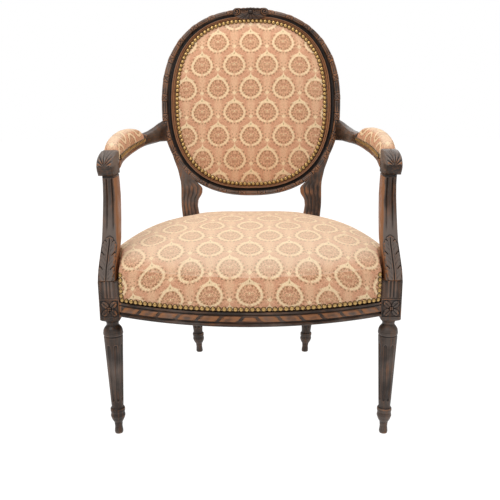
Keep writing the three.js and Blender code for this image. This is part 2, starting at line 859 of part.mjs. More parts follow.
function backNailPath() {
  const half = rearInner - fitGap - nailRadius - borderDrawIn - fitGap;
  const y = rearFace - nailInset + fitGap;
  return [-1, 0, 1].map((side) => borderNail(half * side, y, 0, 1, nailZ));
}

// Soft disc in the back opening: rings of equal angles at shares of a radius and heights
const discSides = 36;

function discRing(radiusAt, up) {
  const ring = [];
  for (let i = 0; i < discSides; i += 1) {
    const angle = (i * 2 * Math.PI) / discSides;
    ring.push(ringPoint(angle, radiusAt(angle), up));
  }
  return ring;
}

const backCrownRingShares = [1, 0.94, 0.82, 0.5];

function backDome(edge, base, seat, height) {
  const rings = [discRing(edge, base)];
  for (const share of backCrownRingShares) {
    const up = seat + height * (0.35 * (1 - share ** 2) + 0.65 * (1 - share ** 8));
    rings.push(discRing((angle) => edge(angle) * share, up));
  }
  return rings;
}

function disc(edge, from, to) {
  return loft([discRing(edge, from), discRing(edge, to)]);
}

// Arm pads: a loft along the arm, with a share of the length, of the height and of the width
const padShares = [
  [0, 0.5, 0.9], [0.03, 0.76, 0.97], [0.1, 0.93, 1], [0.25, 1, 1], [0.42, 1, 1], [0.6, 1, 1],
  [0.78, 0.95, 1], [0.92, 0.8, 0.97], [1, 0.5, 0.88],
];
const padBulge = 0.03;
const padSectionShares = [
  [-0.5, 0], [-0.5 - padBulge, 0.3], [-0.5, 0.52], [-0.37, 0.8], [-0.15, 0.98], [0.15, 0.98],
  [0.37, 0.8], [0.5, 0.52], [0.5 + padBulge, 0.3], [0.5, 0],
];
const padStart = knuckleDepth - knuckleFront + padSlot;
const armFlatShare = 0.63;
const padLength = armFront + armSpan * armFlatShare - padStart - padRearGap;
const padBase = armTop + fitGap;

function padStations(shrink) {
  return padShares.map(([lengthShare, heightShare, widthShare]) => {
    const y = padStart + shrink + (padLength - 2 * shrink) * lengthShare;
    const share = (y - armFront) / armSpan;
    const width = armWidth * shareAt(armShares, 4, share) * widthShare - 2 * shrink;
    const climb = armTopRise * shareAt(armShares, 3, share);
    return [y, armX(share), width, (padHeight - shrink) * heightShare, climb];
  });
}

function padDome(shrink, base) {
  const sections = padStations(shrink).map(([y, x, width, height, climb]) => {
    return padSectionShares.map(([acrossShare, upShare]) => {
      const z = climb + (upShare === 0 ? base : padBase + height * upShare);
      return new THREE.Vector3(x + width * acrossShare, y, z);
    });
  });
  return loft(sections);
}

function padNailPath(side) {
  const stations = padStations(0);
  const from = padStart + nailRadius;
  const to = padStart + padLength - nailRadius;
  const path = [];
  for (let i = 0; i <= 2 * sideSteps; i += 1) {
    const y = from + ((to - from) * i) / (2 * sideSteps);
    const reach = shareAt(stations, 2, y) * (0.5 + padBulge) + fitGap;
    const x = shareAt(stations, 1, y) + side * reach;
    path.push(borderNail(x, y, side, 0, padBase + shareAt(stations, 4, y) + nailRise));
  }
  return path;
}

// Springs: a coil that narrows at its waist and lies flat on a turn at each end
function spring(x, y) {
  const stepsPerTurn = 7;
  const steps = springTurns * stepsPerTurn;
  const bottom = railBottom + springWire + fitGap;
  const height = railHeight - 2 * springWire - 2 * fitGap;
  const sections = [];
  for (let i = 0; i <= steps; i += 1) {
    const share = i / steps;
    const angle = (i * 2 * Math.PI) / stepsPerTurn;
    const waist = 1 - 0.28 * Math.sin(Math.PI * share);
    const radius = springRadius * waist;
    const out = new THREE.Vector3(Math.cos(angle), Math.sin(angle), 0);
    const centre = new THREE.Vector3(x, y, bottom + height * share).addScaledVector(out, radius);
    const up = new THREE.Vector3(0, 0, 1);
    sections.push([
      centre.clone().addScaledVector(out, springWire),
      centre.clone().addScaledVector(up, springWire),
      centre.clone().addScaledVector(out, -springWire),
      centre.clone().addScaledVector(up, -springWire),
    ]);
  }
  return loft(sections);
}

function extrudedOutline(outline, bottom, height) {
  const shape = new THREE.Shape(outline.map(([x, y]) => new THREE.Vector2(x, y)));
  const geometry = new THREE.ExtrudeGeometry(shape, { depth: height, bevelEnabled: false });
  return bare(geometry).translate(0, 0, bottom);
}

const screwSides = 10;

function screwParts(from, direction) {
  const along = direction.clone().normalize();
  const shankMiddle = from.clone().addScaledVector(along, screwLength / 2);
  const headMiddle = from.clone().addScaledVector(along, -screwHeadHeight / 2);
  const shank = rod(screwRadius, screwLength, shankMiddle, along, screwSides);
  const head = rod(screwHeadRadius, screwHeadHeight + fitGap, headMiddle, along, screwSides);
  const hole = rod(screwRadius + fitGap, screwLength + cutOverrun, shankMiddle, along, screwSides);
  return { screw: join(shank, head), hole };
}

// Dowels
const crestRing = (nailRadiusAt(crestAngle) + outerRadiusAt(crestAngle)) / 2;
const lowerJoint = -lowerStart;
const lowerRing = (nailRadiusAt(lowerJoint) + outerRadiusAt(lowerJoint)) / 2;

function ringTangent(angle) {
  const across = new THREE.Vector3(-Math.sin(angle), 0, 0);
  return across.addScaledVector(rakeUp, Math.cos(angle));
}

function ringOutward(angle) {
  return new THREE.Vector3(Math.cos(angle), 0, 0).addScaledVector(rakeUp, Math.sin(angle));
}

const crestDowel = dowel(ringPoint(crestAngle, crestRing, midDepth), ringTangent(crestAngle));
const lowerDowel = dowel(ringPoint(lowerJoint, lowerRing, midDepth), ringTangent(lowerJoint));
const armDowelMiddle = armJoint.clone().addScaledVector(ringOutward(armAngle), -armDowelSetback);
const armDowel = dowel(armDowelMiddle, ringOutward(armAngle));
const supportDowelX = supportX(shareAt(supportShares, 3, 1));
const supportDowelMiddle = new THREE.Vector3(supportDowelX, fitGap, armUnder - fitGap / 2);
const supportDowel = dowel(supportDowelMiddle, new THREE.Vector3(0, 0, 1));

// Seat corner blocks
const cornerBottom = railBottom + cornerBlockDrop;
const cornerHeight = railHeight - 2 * cornerBlockDrop;

// The rails' inner faces as they run between their sections
function alongFacets(steps, from, to, place, value) {
  const table = [];
  for (let i = 0; i <= steps; i += 1) {
    const at = from + ((to - from) * i) / steps;
    table.push([at, value(at)]);
  }
  return shareAt(table, 1, place);
}

const frontInnerY = (x) =>
  alongFacets(frontSteps, 0, blockInner - fitGap, x, (at) => frontY(at, frontRailThickness)) + fitGap;
const sideInnerX = (y) =>
  alongFacets(sideSteps, sideStart, sideEnd, y, (at) => sideX(at, sideRailThickness)) - fitGap;
const frontCornerY = blockHalf + 2 * fitGap;
const frontCorner = [
  [blockInner - frontBlockReach, frontInnerY(blockInner - frontBlockReach)],
  [blockInner - fitGap, frontCornerY],
  [sideInnerX(frontCornerY), frontCornerY],
  [sideInnerX(blockHalf + frontBlockReach), blockHalf + frontBlockReach],
];
const rearInnerY = rearFace - backRailThickness - fitGap;
const rearCorner = [
  [sideInnerX(rearFront - rearBlockReach), rearFront - rearBlockReach],
  [sideInnerX(sideEnd), sideEnd],
  [rearInner - fitGap, sideEnd],
  [rearInner - fitGap, rearInnerY],
  [rearInner - fitGap - rearBlockReach, rearInnerY],
];
const screwZ = railMiddle;

function cornerScrew(outline, placeShare) {
  const start = new THREE.Vector3(...outline[0], screwZ);
  const end = new THREE.Vector3(...outline[outline.length - 1], screwZ);
  const direction = new THREE.Vector3(end.y - start.y, start.x - end.x, 0).normalize();
  return screwParts(start.lerp(end, placeShare).addScaledVector(direction, -fitGap), direction);
}

const frontScrew = cornerScrew(frontCorner, 0.53);
const rearScrew = cornerScrew(rearCorner, 0.5);

// Legs with their blocks, mortises and carving
const rosetteZ = (turnedHeight + ledgeTop) / 2 + blockChamfer;
const frontLegSolid = join(leg(legHalf, 0, 0, 0, blockTop), ...rosette(legHalf, rosetteZ));
const frontLeg = cut(frontLegSolid, tenon("front", fitGap), tenon("sideFront", fitGap), frontScrew.hole);
addPair("front_leg", frontLeg, wood);

const rearLegSolid = join(
  leg(rearHalf, rearBlockDepth, rearToeIn, rearSplay, rearBlockTop),
  upright(),
  frameArc(-lowerStart + jointTurn, crestAngle - jointTurn, sideArcSteps),
);
const rearLeg = cut(
  rearLegSolid,
  tenon("sideRear", fitGap),
  tenon("back", fitGap),
  rearScrew.hole,
  crestDowel.hole,
  lowerDowel.hole,
  armDowel.hole,
);
addPair("rear_leg_stile", rearLeg, wood);

// Seat rails
const frontTenons = [tenon("front"), mirror(tenon("front"))];
addPiece("front_seat_rail", join(frontRail(), ...frontTenons), wood);
addPair("side_seat_rail", join(sideRail(), tenon("sideFront"), tenon("sideRear")), wood);
addPiece("back_seat_rail", join(backRail(), tenon("back"), mirror(tenon("back"))), wood);

// Medallion top and bottom
const crestArc = frameArc(crestAngle + jointTurn, Math.PI - crestAngle - jointTurn, crestSteps);
const crestHoles = [crestDowel.hole, mirror(crestDowel.hole)];
addPiece("crest_rail", cut(join(crestArc, ...crestCarving()), ...crestHoles), wood);
const lowerArc = frameArc(-Math.PI + lowerStart + jointTurn, -lowerStart - jointTurn, lowerSteps);
addPiece("lower_back_rail", cut(lowerArc, lowerDowel.hole, mirror(lowerDowel.hole)), wood);

// Arms
const stileEnvelope = frameArc(-lowerStart, crestAngle, sideArcSteps, fitGap);
const armSolid = join(armBody(), knuckle(), knuckleEye(-1), knuckleEye(1));
const armRest = cut(armSolid, stileEnvelope, armDowel.hole, supportDowel.hole);
addPair("armrest", armRest, wood);
addPair("arm_support", join(armSupport(), ...acanthus(), supportDowel.pin), wood);

// Dowels
addPair("crest_dowel", crestDowel.pin, innerWood);
addPair("lower_rail_dowel", lowerDowel.pin, innerWood);
addPair("arm_stile_dowel", armDowel.pin, innerWood);

// Corner blocks
const frontCornerSolid = extrudedOutline(frontCorner, cornerBottom, cornerHeight);
addPair("front_corner_block", cut(frontCornerSolid, frontScrew.hole), innerWood);
const rearCornerSolid = extrudedOutline(rearCorner, cornerBottom, cornerHeight);
addPair("rear_corner_block", cut(rearCornerSolid, rearScrew.hole), innerWood);
addPair("front_corner_screw", frontScrew.screw, steel);
addPair("rear_corner_screw", rearScrew.screw, steel);

// Webbing under the rails
const acrossTop = railBottom - fitGap;
const lengthwiseTop = acrossTop - strapThickness - fitGap;
const lengthwiseShares = [-0.61, -0.2035, 0.2035, 0.61];
const crosswiseShares = [0.24, 0.5, 0.76];
const strapSpanShare = 0.86;
const strapSpan = (rearFace - blockHalf) * strapSpanShare;
const crosswiseYs = crosswiseShares.map((share) => blockHalf + strapSpan * share);
lengthwiseShares.forEach((share, i) => {
  const x = share * rearInner;
  const front = frontY(x, strapSetback);
  const back = rearFace - strapSetback;
  const z = lengthwiseTop - strapThickness / 2;
  const strap = box(strapWidth, back - front, strapThickness, x, (front + back) / 2, z);
  addPiece(`webbing_lengthwise_${i + 1}`, strap, webbing);
});
crosswiseYs.forEach((y, i) => {
  const half = sideX(y + strapWidth / 2, strapSetback);
  const strap = box(2 * half, strapWidth, strapThickness, 0, y, acrossTop - strapThickness / 2);
  addPiece(`webbing_crosswise_${i + 1}`, strap, webbing);
});

// Springs on the webbing
const springXShare = 0.42;
const springYs = [crosswiseYs[0], crosswiseYs[2]];
springYs.forEach((y, i) => {
  addPair(i === 0 ? "front_spring" : "rear_spring", spring(springXShare * rearOuter, y), steel);
});

// Seat upholstery
const hessianBottom = railTop + fitGap;
const hessianTop = hessianBottom + clothThickness;
const hessianInset = upperInset + borderDrawIn;
const hessianRings = [seatRing(hessianInset, hessianBottom), seatRing(hessianInset, hessianTop)];
addPiece("seat_hessian", loft(hessianRings), hessian);
const stuffingShrink = coverThickness + fitGap;
addPiece("seat_stuffing", seatDome(stuffingShrink, hessianTop + fitGap), stuffingStuff);
const seatInner = seatDome(coverThickness, railTop);
addPiece("seat_cover", cut(seatDome(0, borderBottom), seatInner, railEnvelope()), fabric);
addPiece("seat_nails_front", nailRow(frontNailPath(), false), brass);
addPair("seat_nails_side", nailRow(sideNailPath(), false), brass);
addPiece("seat_nails_back", nailRow(backNailPath(), false), brass);

// Back upholstery
const rebateFace = -rebateDepth + fitGap;
const coverEdge = (angle) => nailRadiusAt(angle) + nailRadius / 2;
const crownEdge = (angle) => nailRadiusAt(angle) - nailRadius;
const coverInnerEdge = (angle) => crownEdge(angle) - coverThickness;
const stuffingEdge = (angle) => coverInnerEdge(angle) - fitGap;
const coverRings = [
  discRing(coverEdge, rebateFace),
  discRing(coverEdge, rebateFace + coverThickness),
  ...backDome(crownEdge, rebateFace + coverThickness, rebateFace + coverThickness, backCrown).slice(1),
];
const coverHollow = backDome(coverInnerEdge, rebateFace - cutOverrun, rebateFace, backCrown);
addPiece("back_cover", cut(loft(coverRings), loft(coverHollow)), fabric);
const backClothTop = rebateFace + clothThickness;
const clothEdge = (angle) => coverInnerEdge(angle) - innerLip / 4;
addPiece("back_hessian", disc(clothEdge, rebateFace, backClothTop), hessian);
const backCore = backDome(stuffingEdge, rebateFace - 2 * fitGap, rebateFace - fitGap, backCrown);
const clothSpace = disc(coverEdge, rebateFace - cutOverrun, backClothTop + fitGap);
addPiece("back_stuffing", cut(loft(backCore), clothSpace), stuffingStuff);
const openingEdge = (angle) => nailRadiusAt(angle) - innerLip - 3 * fitGap;
const panelFront = -frameDepth + coverThickness;
const panelRings = [
  discRing(openingEdge, panelFront),
  discRing(openingEdge, -frameDepth),
  discRing((angle) => openingEdge(angle) * 0.8, -frameDepth - outsideBulge),
];
addPiece("outside_back_panel", loft(panelRings), fabric);
const ringNails = [];
const ringNailSteps = 96;
for (let i = 0; i < ringNailSteps; i += 1) {
  const angle = (i * 2 * Math.PI) / ringNailSteps;
  const place = ringPoint(angle, nailRadiusAt(angle), rebateFace + coverThickness + fitGap);
  ringNails.push({ place, out: rakeForward });
}
addPiece("back_nails", nailRow(ringNails, true), brass);

// Arm pads
addPair("arm_pad_cover", cut(padDome(0, padBase), padDome(coverThickness, padBase - cutOverrun)), fabric);
addPair("arm_pad_stuffing", padDome(coverThickness + fitGap, padBase), stuffingStuff);
addPair("arm_nails_inner", nailRow(padNailPath(-1), false), brass);
addPair("arm_nails_outer", nailRow(padNailPath(1), false), brass);

// The origin is on the floor, below the middle of the chair's depth
const bounds = new THREE.Box3().setFromObject(chair);
const frontEdge = bounds.min.y;
const backEdge = bounds.max.y;
chair.position.y = -(frontEdge + backEdge) / 2;

export default chair;
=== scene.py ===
# Fauteuil: carved dark wood, tapestry seat, back and arm pads, rows of brass nails
import math

import bpy
import numpy as np
from bpy.props import FloatProperty, FloatVectorProperty, IntProperty, PointerProperty
from mathutils import Matrix, Vector


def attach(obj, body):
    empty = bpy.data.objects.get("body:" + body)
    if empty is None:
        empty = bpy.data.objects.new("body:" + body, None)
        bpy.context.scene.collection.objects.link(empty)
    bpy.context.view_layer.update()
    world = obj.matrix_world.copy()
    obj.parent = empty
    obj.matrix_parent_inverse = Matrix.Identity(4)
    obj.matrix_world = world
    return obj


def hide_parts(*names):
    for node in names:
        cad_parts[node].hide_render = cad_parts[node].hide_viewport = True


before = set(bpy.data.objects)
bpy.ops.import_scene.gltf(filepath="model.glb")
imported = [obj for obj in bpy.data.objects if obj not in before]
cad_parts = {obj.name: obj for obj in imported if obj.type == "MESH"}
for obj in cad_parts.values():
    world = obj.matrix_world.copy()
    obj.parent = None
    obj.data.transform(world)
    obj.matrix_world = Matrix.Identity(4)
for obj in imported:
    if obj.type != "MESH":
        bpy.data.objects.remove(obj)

bl_info = {
    "name": "Medallion fauteuil",
    "version": (1, 0, 0),
    "blender": (4, 5, 0),
    "location": "View3D > Sidebar > Fauteuil",
    "description": "Builds a carved armchair with tapestry upholstery",
    "category": "Object",
}

# The drawing is in millimetres, with the front legs on its zero line of depth, which the frame shifts forward
MILLIMETRE = 0.001
DEPTH_SHIFT = -232.21676635742188
FIT = 0.35

# Front legs
LEG_HALF = 299.0
BLOCK_HALF = 22.0
TURNED_HEIGHT = 268.0
BLOCK_CHAMFER = 10.0
LEG_RADIUS = 21.4
SHOULDER_SHARE = 0.66
BLOCK_TOP = 362.0
LEG_ACROSS = 40

# Rear legs
REAR_HALF = 165.0
REAR_DEPTH = 426.0
REAR_SPLAY = 41.0
REAR_TOE_IN = 9.0
REAR_BLOCK_TOP = 392.0

# Seat frame
RAIL_BOTTOM = 285.0
RAIL_TOP = 352.0
LEDGE_TOP = 316.0
UPPER_INSET = 5.75
FRONT_BOW = 65.0
SIDE_BOW = 22.0
FRONT_RAIL_THICKNESS = 28.0
SIDE_RAIL_THICKNESS = 24.0
BLOCK_INNER = LEG_HALF - BLOCK_HALF
BLOCK_OUTER = LEG_HALF + BLOCK_HALF
REAR_INNER = REAR_HALF - BLOCK_HALF
REAR_OUTER = REAR_HALF + BLOCK_HALF
REAR_FRONT = REAR_DEPTH - BLOCK_HALF
REAR_FACE = REAR_DEPTH + BLOCK_HALF
FACE_RADIUS = (BLOCK_INNER ** 2 + FRONT_BOW ** 2) / (2 * FRONT_BOW)
FACE_CENTRE = FACE_RADIUS - BLOCK_HALF - FRONT_BOW

# Seat upholstery
BORDER_BOTTOM = LEDGE_TOP + FIT
BORDER_HEIGHT = 66.0
BORDER_TOP = BORDER_BOTTOM + BORDER_HEIGHT
CROWN_HEIGHT = 76.0
CROWN_EVENNESS = (0.92, 0.34, 0.8)
CROWN_FIRM_EDGE = 0.12
COVER = 2.4
SEAT_MIDDLE = (REAR_FACE - BLOCK_HALF - FRONT_BOW) / 2

# Medallion back
MEDALLION_BOTTOM = 473.0
MEDALLION_SETBACK = 427.0
MEDALLION_WIDTH = 487.0
MEDALLION_HEIGHT = 500.6
RAKE = math.radians(11.7)
OUTER_EXPONENT = 2.35
INNER_EXPONENT = 2.5
NAIL_RING_HALF_WIDTH = 200.5
NAIL_RING_HALF_HEIGHT = 219.5
FRAME_DEPTH = 28.0
INNER_LIP = 18.0
CREST_ANGLE = math.radians(50)
LOWER_START = math.radians(61.5)
BACK_CROWN = 24.0
REBATE_FACE = -4.65

# Arms
ARM_UNDER = 585.0
ARM_TOP = 628.0
ARM_FRONT = 8.0
ARM_CENTRE = 290.0
ARM_WIDTH = 38.0
ARM_JOINT = (236.37, 477.80, 636.94)
ARM_SPAN = ARM_JOINT[1] - ARM_FRONT + 2.2
ARM_INSET = ARM_CENTRE - ARM_JOINT[0] - 3.6
ARM_RISE = ARM_JOINT[2] - ARM_UNDER - 22
ARM_TOP_RISE = ARM_JOINT[2] - ARM_TOP + 37.3
KNUCKLE_DEPTH = 74.0
KNUCKLE_HEIGHT = 52.0
KNUCKLE_WIDTH = 34.0
KNUCKLE_FRONT = 32.0
PAD_START = 44.0
PAD_LENGTH = 250.96
PAD_BASE = ARM_TOP + FIT
PAD_HEIGHT = 35.0
SUPPORT_WIDTH = 37.0
SUPPORT_DEPTH = 41.0
SUPPORT_OUTSET = 3.5
SUPPORT_SHIFT = 17.5
SUPPORT_BOTTOM = BLOCK_TOP + FIT
SUPPORT_HEIGHT = ARM_UNDER - FIT - SUPPORT_BOTTOM
LEAF_HEIGHT = 98.0

# Nails
NAIL_RADIUS = 5.3
NAIL_Z = BORDER_BOTTOM + NAIL_RADIUS + FIT


def tone(red, green, blue):
    """A display colour of 0 to 255 as linear values."""
    values = []
    for value in (red, green, blue):
        share = value / 255
        values.append(share / 12.92 if share <= 0.04045 else ((share + 0.055) / 1.055) ** 2.4)
    return tuple(values)


def colour_setting(name, description, red, green, blue):
    return FloatVectorProperty(name=name, description=description, subtype="COLOR", size=3, min=0, max=1,
                               default=tone(red, green, blue))


def length_setting(name, description, default):
    return FloatProperty(name=name, description=description, default=default, min=0, subtype="DISTANCE",
                         unit="LENGTH")


class WoodSettings(bpy.types.PropertyGroup):
    """Colours of the stained wood and depth of its carving"""
    dark: colour_setting("Stain", "Colour of the stained wood", 43, 32, 25)
    # Painted highlight: the lighter grey of wooden faces and ridges that catch the light, mixed over the
    # stain
    painted_highlight: colour_setting("Waxed bloom", "Colour of the dull waxed faces", 112, 99, 91)
    worn: colour_setting("Worn edges", "Colour where the stain has rubbed away", 158, 102, 60)
    hollow_dark: colour_setting("Hollows", "Colour in the depth of the carving", 20, 15, 14)
    plain: colour_setting("Bare wood", "Colour of the unstained blocks and dowels", 160, 128, 88)
    flute_depth: length_setting("Flute depth", "Depth of the flutes on the legs", 0.0022)
    leaf_relief: length_setting("Leaf relief", "Height of the carved leaves", 0.0036)


class FabricSettings(bpy.types.PropertyGroup):
    """Colours and repeat of the tapestry"""
    ground: colour_setting("Ground", "Colour between the ornaments", 236, 190, 152)
    cream: colour_setting("Cream", "Colour of the rings", 253, 225, 182)
    rose: colour_setting("Rose", "Colour inside the rings", 218, 150, 120)
    brown: colour_setting("Brown", "Colour of the dots beside the rings", 140, 94, 56)
    olive: colour_setting("Olive", "Colour of the small leaves", 160, 132, 84)
    # Painted top light: the lighter colour given to cloth that faces up
    painted_top_light: colour_setting("Bleached", "Colour of the cloth that light has bleached", 243, 226, 200)
    repeat_width: length_setting("Repeat width", "Width of one repeat of the pattern", 0.088)
    repeat_height: length_setting("Repeat height", "Height of one repeat of the pattern", 0.126)
    crown_cap: length_setting("Greatest swell", "Farthest that the padding may swell", 0.006)


class NailSettings(bpy.types.PropertyGroup):
    """Size, spacing and colours of the nails"""
    radius: length_setting("Head radius", "Radius of one nail head", 0.0056)
    height: length_setting("Head height", "Height of one nail head", 0.0040)
    pitch: length_setting("Spacing", "Distance between the middles of two nails", 0.0113)
    gold: colour_setting("Brass", "Colour of the polished brass", 196, 160, 102)
    # Tarnish and painted shade: the darker brass at the foot of each nail head and in random patches
    tarnish_and_shade: colour_setting("Tarnish", "Colour of the dull brass", 64, 44, 16)


class RibbonSettings(bpy.types.PropertyGroup):
    """The carved ribbon on the front rail"""
    pitch: length_setting("Spacing", "Distance from one stick of the ribbon to the next", 0.0440)
    length: length_setting("Stick length", "Length of one stick", 0.0345)
    height: length_setting("Stick height", "Height of one stick", 0.0120)
    count: IntProperty(name="Sticks", description="Sticks on each side of the middle", default=6, min=1)


# Numbers and curves
def smooth(low, high, value):
    share = np.clip((value - low) / (high - low), 0, 1)
    return share * share * (3 - 2 * share)


def bump(distance, width):
    return np.exp(-(distance / width) ** 2)


def column(table, index, share):
    """Straight-line reading of one column of a table whose first column rises."""
    rows = np.array(table, float)
    return np.interp(share, rows[:, 0], rows[:, index])


def rounded_column(table, index, share, reach):
    """The same reading with its corners softened."""
    offsets = np.linspace(-1, 1, 9)
    weights = 1 - offsets ** 2 * 0.9
    readings = (column(table, index, share + offset * reach) for offset in offsets)
    return sum(weight * reading for weight, reading in zip(weights, readings)) / weights.sum()


def soften_corners(corners, reach, corner_steps, edge_steps):
    """A closed outline with each corner cut back and drawn round, always with the same point count."""
    corners = np.asarray(corners, float)
    count = len(corners)
    points = []
    for i in range(count):
        here = corners[i]
        before = corners[i - 1]
        after = corners[(i + 1) % count]
        cut_before = min(reach, 0.45 * np.linalg.norm(before - here))
        cut_after = min(reach, 0.45 * np.linalg.norm(after - here))
        start = here + (before - here) * cut_before / max(np.linalg.norm(before - here), 1e-9)
        end = here + (after - here) * cut_after / max(np.linalg.norm(after - here), 1e-9)
        for t in np.linspace(0, 1, corner_steps):
            points.append((1 - t) ** 2 * start + 2 * t * (1 - t) * here + t ** 2 * end)
        cut_next = min(reach, 0.45 * np.linalg.norm(here - after))
        following = after + (here - after) * cut_next / max(np.linalg.norm(here - after), 1e-9)
        for t in np.linspace(0, 1, edge_steps + 2)[1:-1]:
            points.append(end + (following - end) * t)
    return np.array(points)


def rows_of(*columns):
    """Rows of numbers from their columns, each a list or one number for all rows."""
    return np.stack(np.broadcast_arrays(*columns), -1)


def lifted(outline, z):
    """A plan outline at a height."""
    return rows_of(outline[:, 0], outline[:, 1], z)


def spread(*spans):
    """Evenly spaced stations over spans, each given by its start, end and count."""
    return np.concatenate([np.linspace(*span) for span in spans])


def with_mirror(half):
    """A closed plan outline from its right half, which starts and ends on the middle line."""
    return np.vstack([half, half[1:-1][::-1] * [-1, 1]])


def run_lengths(points):
    """Length along a row of points, from the first to each."""
    return np.concatenate([[0], np.cumsum(np.linalg.norm(np.diff(points, axis=0), axis=1))])


def read_along(rows, lengths, stations):
    """The rows at stations along them."""
    return rows_of(*(np.interp(stations, lengths, values) for values in rows.T))


def quarter_round(share):
    """Height of a quarter circle at a share of its width."""
    return np.sqrt(1 - (1 - np.clip(share, 0, 1)) ** 2)


# Shells: points with the faces between them
def grid_faces(rows, columns, joined_rows):
    i, j = np.meshgrid(np.arange(rows if joined_rows else rows - 1), np.arange(columns), indexing="ij")
    k = (i + 1) % rows
    m = (j + 1) % columns
    quads = [i * columns + j, i * columns + m, k * columns + m, k * columns + j]
    return np.stack(quads, -1).reshape(-1, 4)


def loft(rings, joined=False, values=None):
    """Rings of equal length as one closed shell of points, quads, triangles and a value for each point."""
    rings = np.asarray(rings, float)
    count, across = rings.shape[:2]
    points = rings.reshape(-1, 3)
    quads = grid_faces(count, across, joined)
    values = np.zeros((len(points), 2)) if values is None else np.asarray(values, float).reshape(-1, 2)
    triangles = np.zeros((0, 3), int)
    if not joined:
        first = len(points)
        last = first + 1
        end = (count - 1) * across
        points = np.vstack([points, rings[0].mean(0), rings[-1].mean(0)])
        values = np.vstack([values, values[:across].mean(0), values[end:end + across].mean(0)])
        j = np.arange(across)
        k = (j + 1) % across
        triangles = np.vstack([rows_of(first, k, j), rows_of(last, end + j, end + k)])
    return facing_out(points, quads, triangles, values)


def facing_out(points, quads, triangles, values):
    middle = points.mean(0)
    solid = 0.0
    for faces in (quads[:, [0, 1, 2]], quads[:, [0, 2, 3]], triangles):
        a, b, c = (points[faces[:, i]] - middle for i in range(3))
        solid += np.einsum("ij,ij->i", a, np.cross(b, c)).sum()
    if solid < 0:
        quads = quads[:, ::-1]
        triangles = triangles[:, ::-1]
    return points, quads, triangles, values


def mirrored(shell):
    points, quads, triangles, values = shell
    return points * [-1, 1, 1], quads[:, ::-1], triangles[:, ::-1], values * [-1, 1]


def rubbed(shell, more):
    """The same wooden shell, rubbed more or less than usual."""
    points, quads, triangles, values = shell
    return points, quads, triangles, values + [0, more]


def gather(shells):
    points, quads, triangles, values = [], [], [], []
    start = 0
    for shell in shells:
        points.append(shell[0])
        quads.append(shell[1] + start)
        triangles.append(shell[2] + start)
        values.append(shell[3])
        start += len(shell[0])
    return np.vstack(points), np.vstack(quads), np.vstack(triangles), np.vstack(values)


def sums_at(indices, amounts, count):
    """For each point, the sum of the amounts that belong to it."""
    if amounts.ndim == 1:
        return np.bincount(indices, amounts, count)
    return rows_of(*(np.bincount(indices, amount, count) for amount in amounts.T))


def point_normals(points, quads, triangles):
    normals = np.zeros_like(points)
    for faces in (quads, triangles):
        if len(faces) == 0:
            continue
        across = points[faces[:, 2]] - points[faces[:, 0]]
        along = points[faces[:, -1]] - points[faces[:, 1]]
        face_normals = np.cross(across, along)
        if faces.shape[1] == 3:
            face_normals = np.cross(points[faces[:, 1]] - points[faces[:, 0]], across)
        for k in range(faces.shape[1]):
            normals += sums_at(faces[:, k], face_normals, len(points))
    return normals / np.maximum(np.linalg.norm(normals, axis=1, keepdims=True), 1e-12)


def ridges(points, quads, triangles):
    """How far each point stands out from its neighbours: above zero on ridges, below zero in hollows."""
    pairs = [quads[:, [k, (k + 1) % 4]] for k in range(4)]
    pairs += [triangles[:, [k, (k + 1) % 3]] for k in range(3)]
    near, far = np.vstack(pairs).T
    normals = point_normals(points, quads, triangles)
    count = len(points)
    counts = np.maximum(np.bincount(np.concatenate([near, far]), minlength=count), 1)

    def around(field):
        total = sums_at(near, field[far], count) + sums_at(far, field[near], count)
        return total / (counts if field.ndim == 1 else counts[:, None])

    lengths = np.linalg.norm(points[near] - points[far], axis=1)
    reach = sums_at(near, lengths, count) + sums_at(far, lengths, count)
    reach = np.maximum(reach / counts, 1e-6)
    standing = np.einsum("ij,ij->i", points - around(points), normals) / reach
    for _ in range(2):
        standing = 0.5 * standing + 0.5 * around(standing)
    return standing


def add_object(name, data):
    item = bpy.data.objects.new(name, data)
    bpy.context.scene.collection.objects.link(item)
    return item


def mark(mesh, name, numbers):
    """One number or one vector for each point of a mesh."""
    single = numbers.ndim == 1
    layer = mesh.attributes.new(name, "FLOAT" if single else "FLOAT_VECTOR", "POINT")
    layer.data.foreach_set("value" if single else "vector", numbers.astype(np.float32).ravel())


def piece(name, shells, look, nodes=(), angle=None):
    """One object of one or more shells drawn in millimetres, in its place, riding on the chair.

    The values of each point of a wooden shell say how much painted highlight it gets and how much more than
    usual it is rubbed.
    """
    points, quads, triangles, values = gather(shells)
    mesh = bpy.data.meshes.new(name)
    places = (points + [0, DEPTH_SHIFT, 0]) * MILLIMETRE
    mesh.from_pydata(places.tolist(), [], quads.tolist() + triangles.tolist())
    slot = FINISHES[look][0]
    if slot == "wood":
        mark(mesh, "worn", ridges(points, quads, triangles) + values[:, 1])
        # Painted highlight on the wood: how much lighter each point is made, from its first value
        mark(mesh, "dusty", np.abs(values[:, 0]))
    # How far each point faces up, which the tapestry uses to paint its upper faces lighter
    mark(mesh, "faded", point_normals(points, quads, triangles)[:, 2])
    mark(mesh, "weave", lifted(values * MILLIMETRE, 0))
    mesh.polygons.foreach_set("use_smooth", np.ones(len(mesh.polygons), bool))
    if angle is not None:
        mesh.set_sharp_from_angle(angle=math.radians(angle))
    mesh.materials.append(finish(look))
    mesh.validate()
    mesh.update()
    item = add_object(name, mesh)
    declare(item, nodes)
    return item


def both_sides(stem, ending, shells, look, angle=50):
    """The same piece on the right and, mirrored, on the left, each named after the solid that it covers."""
    for side in ("right", "left"):
        if side == "left":
            shells = [mirrored(shell) for shell in shells]
        node = f"{stem}_{side}"
        piece(f"{node}_{ending}", shells, look, [node], angle)


def declare(item, nodes):
    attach(item, "root")
    if nodes:
        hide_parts(*nodes)


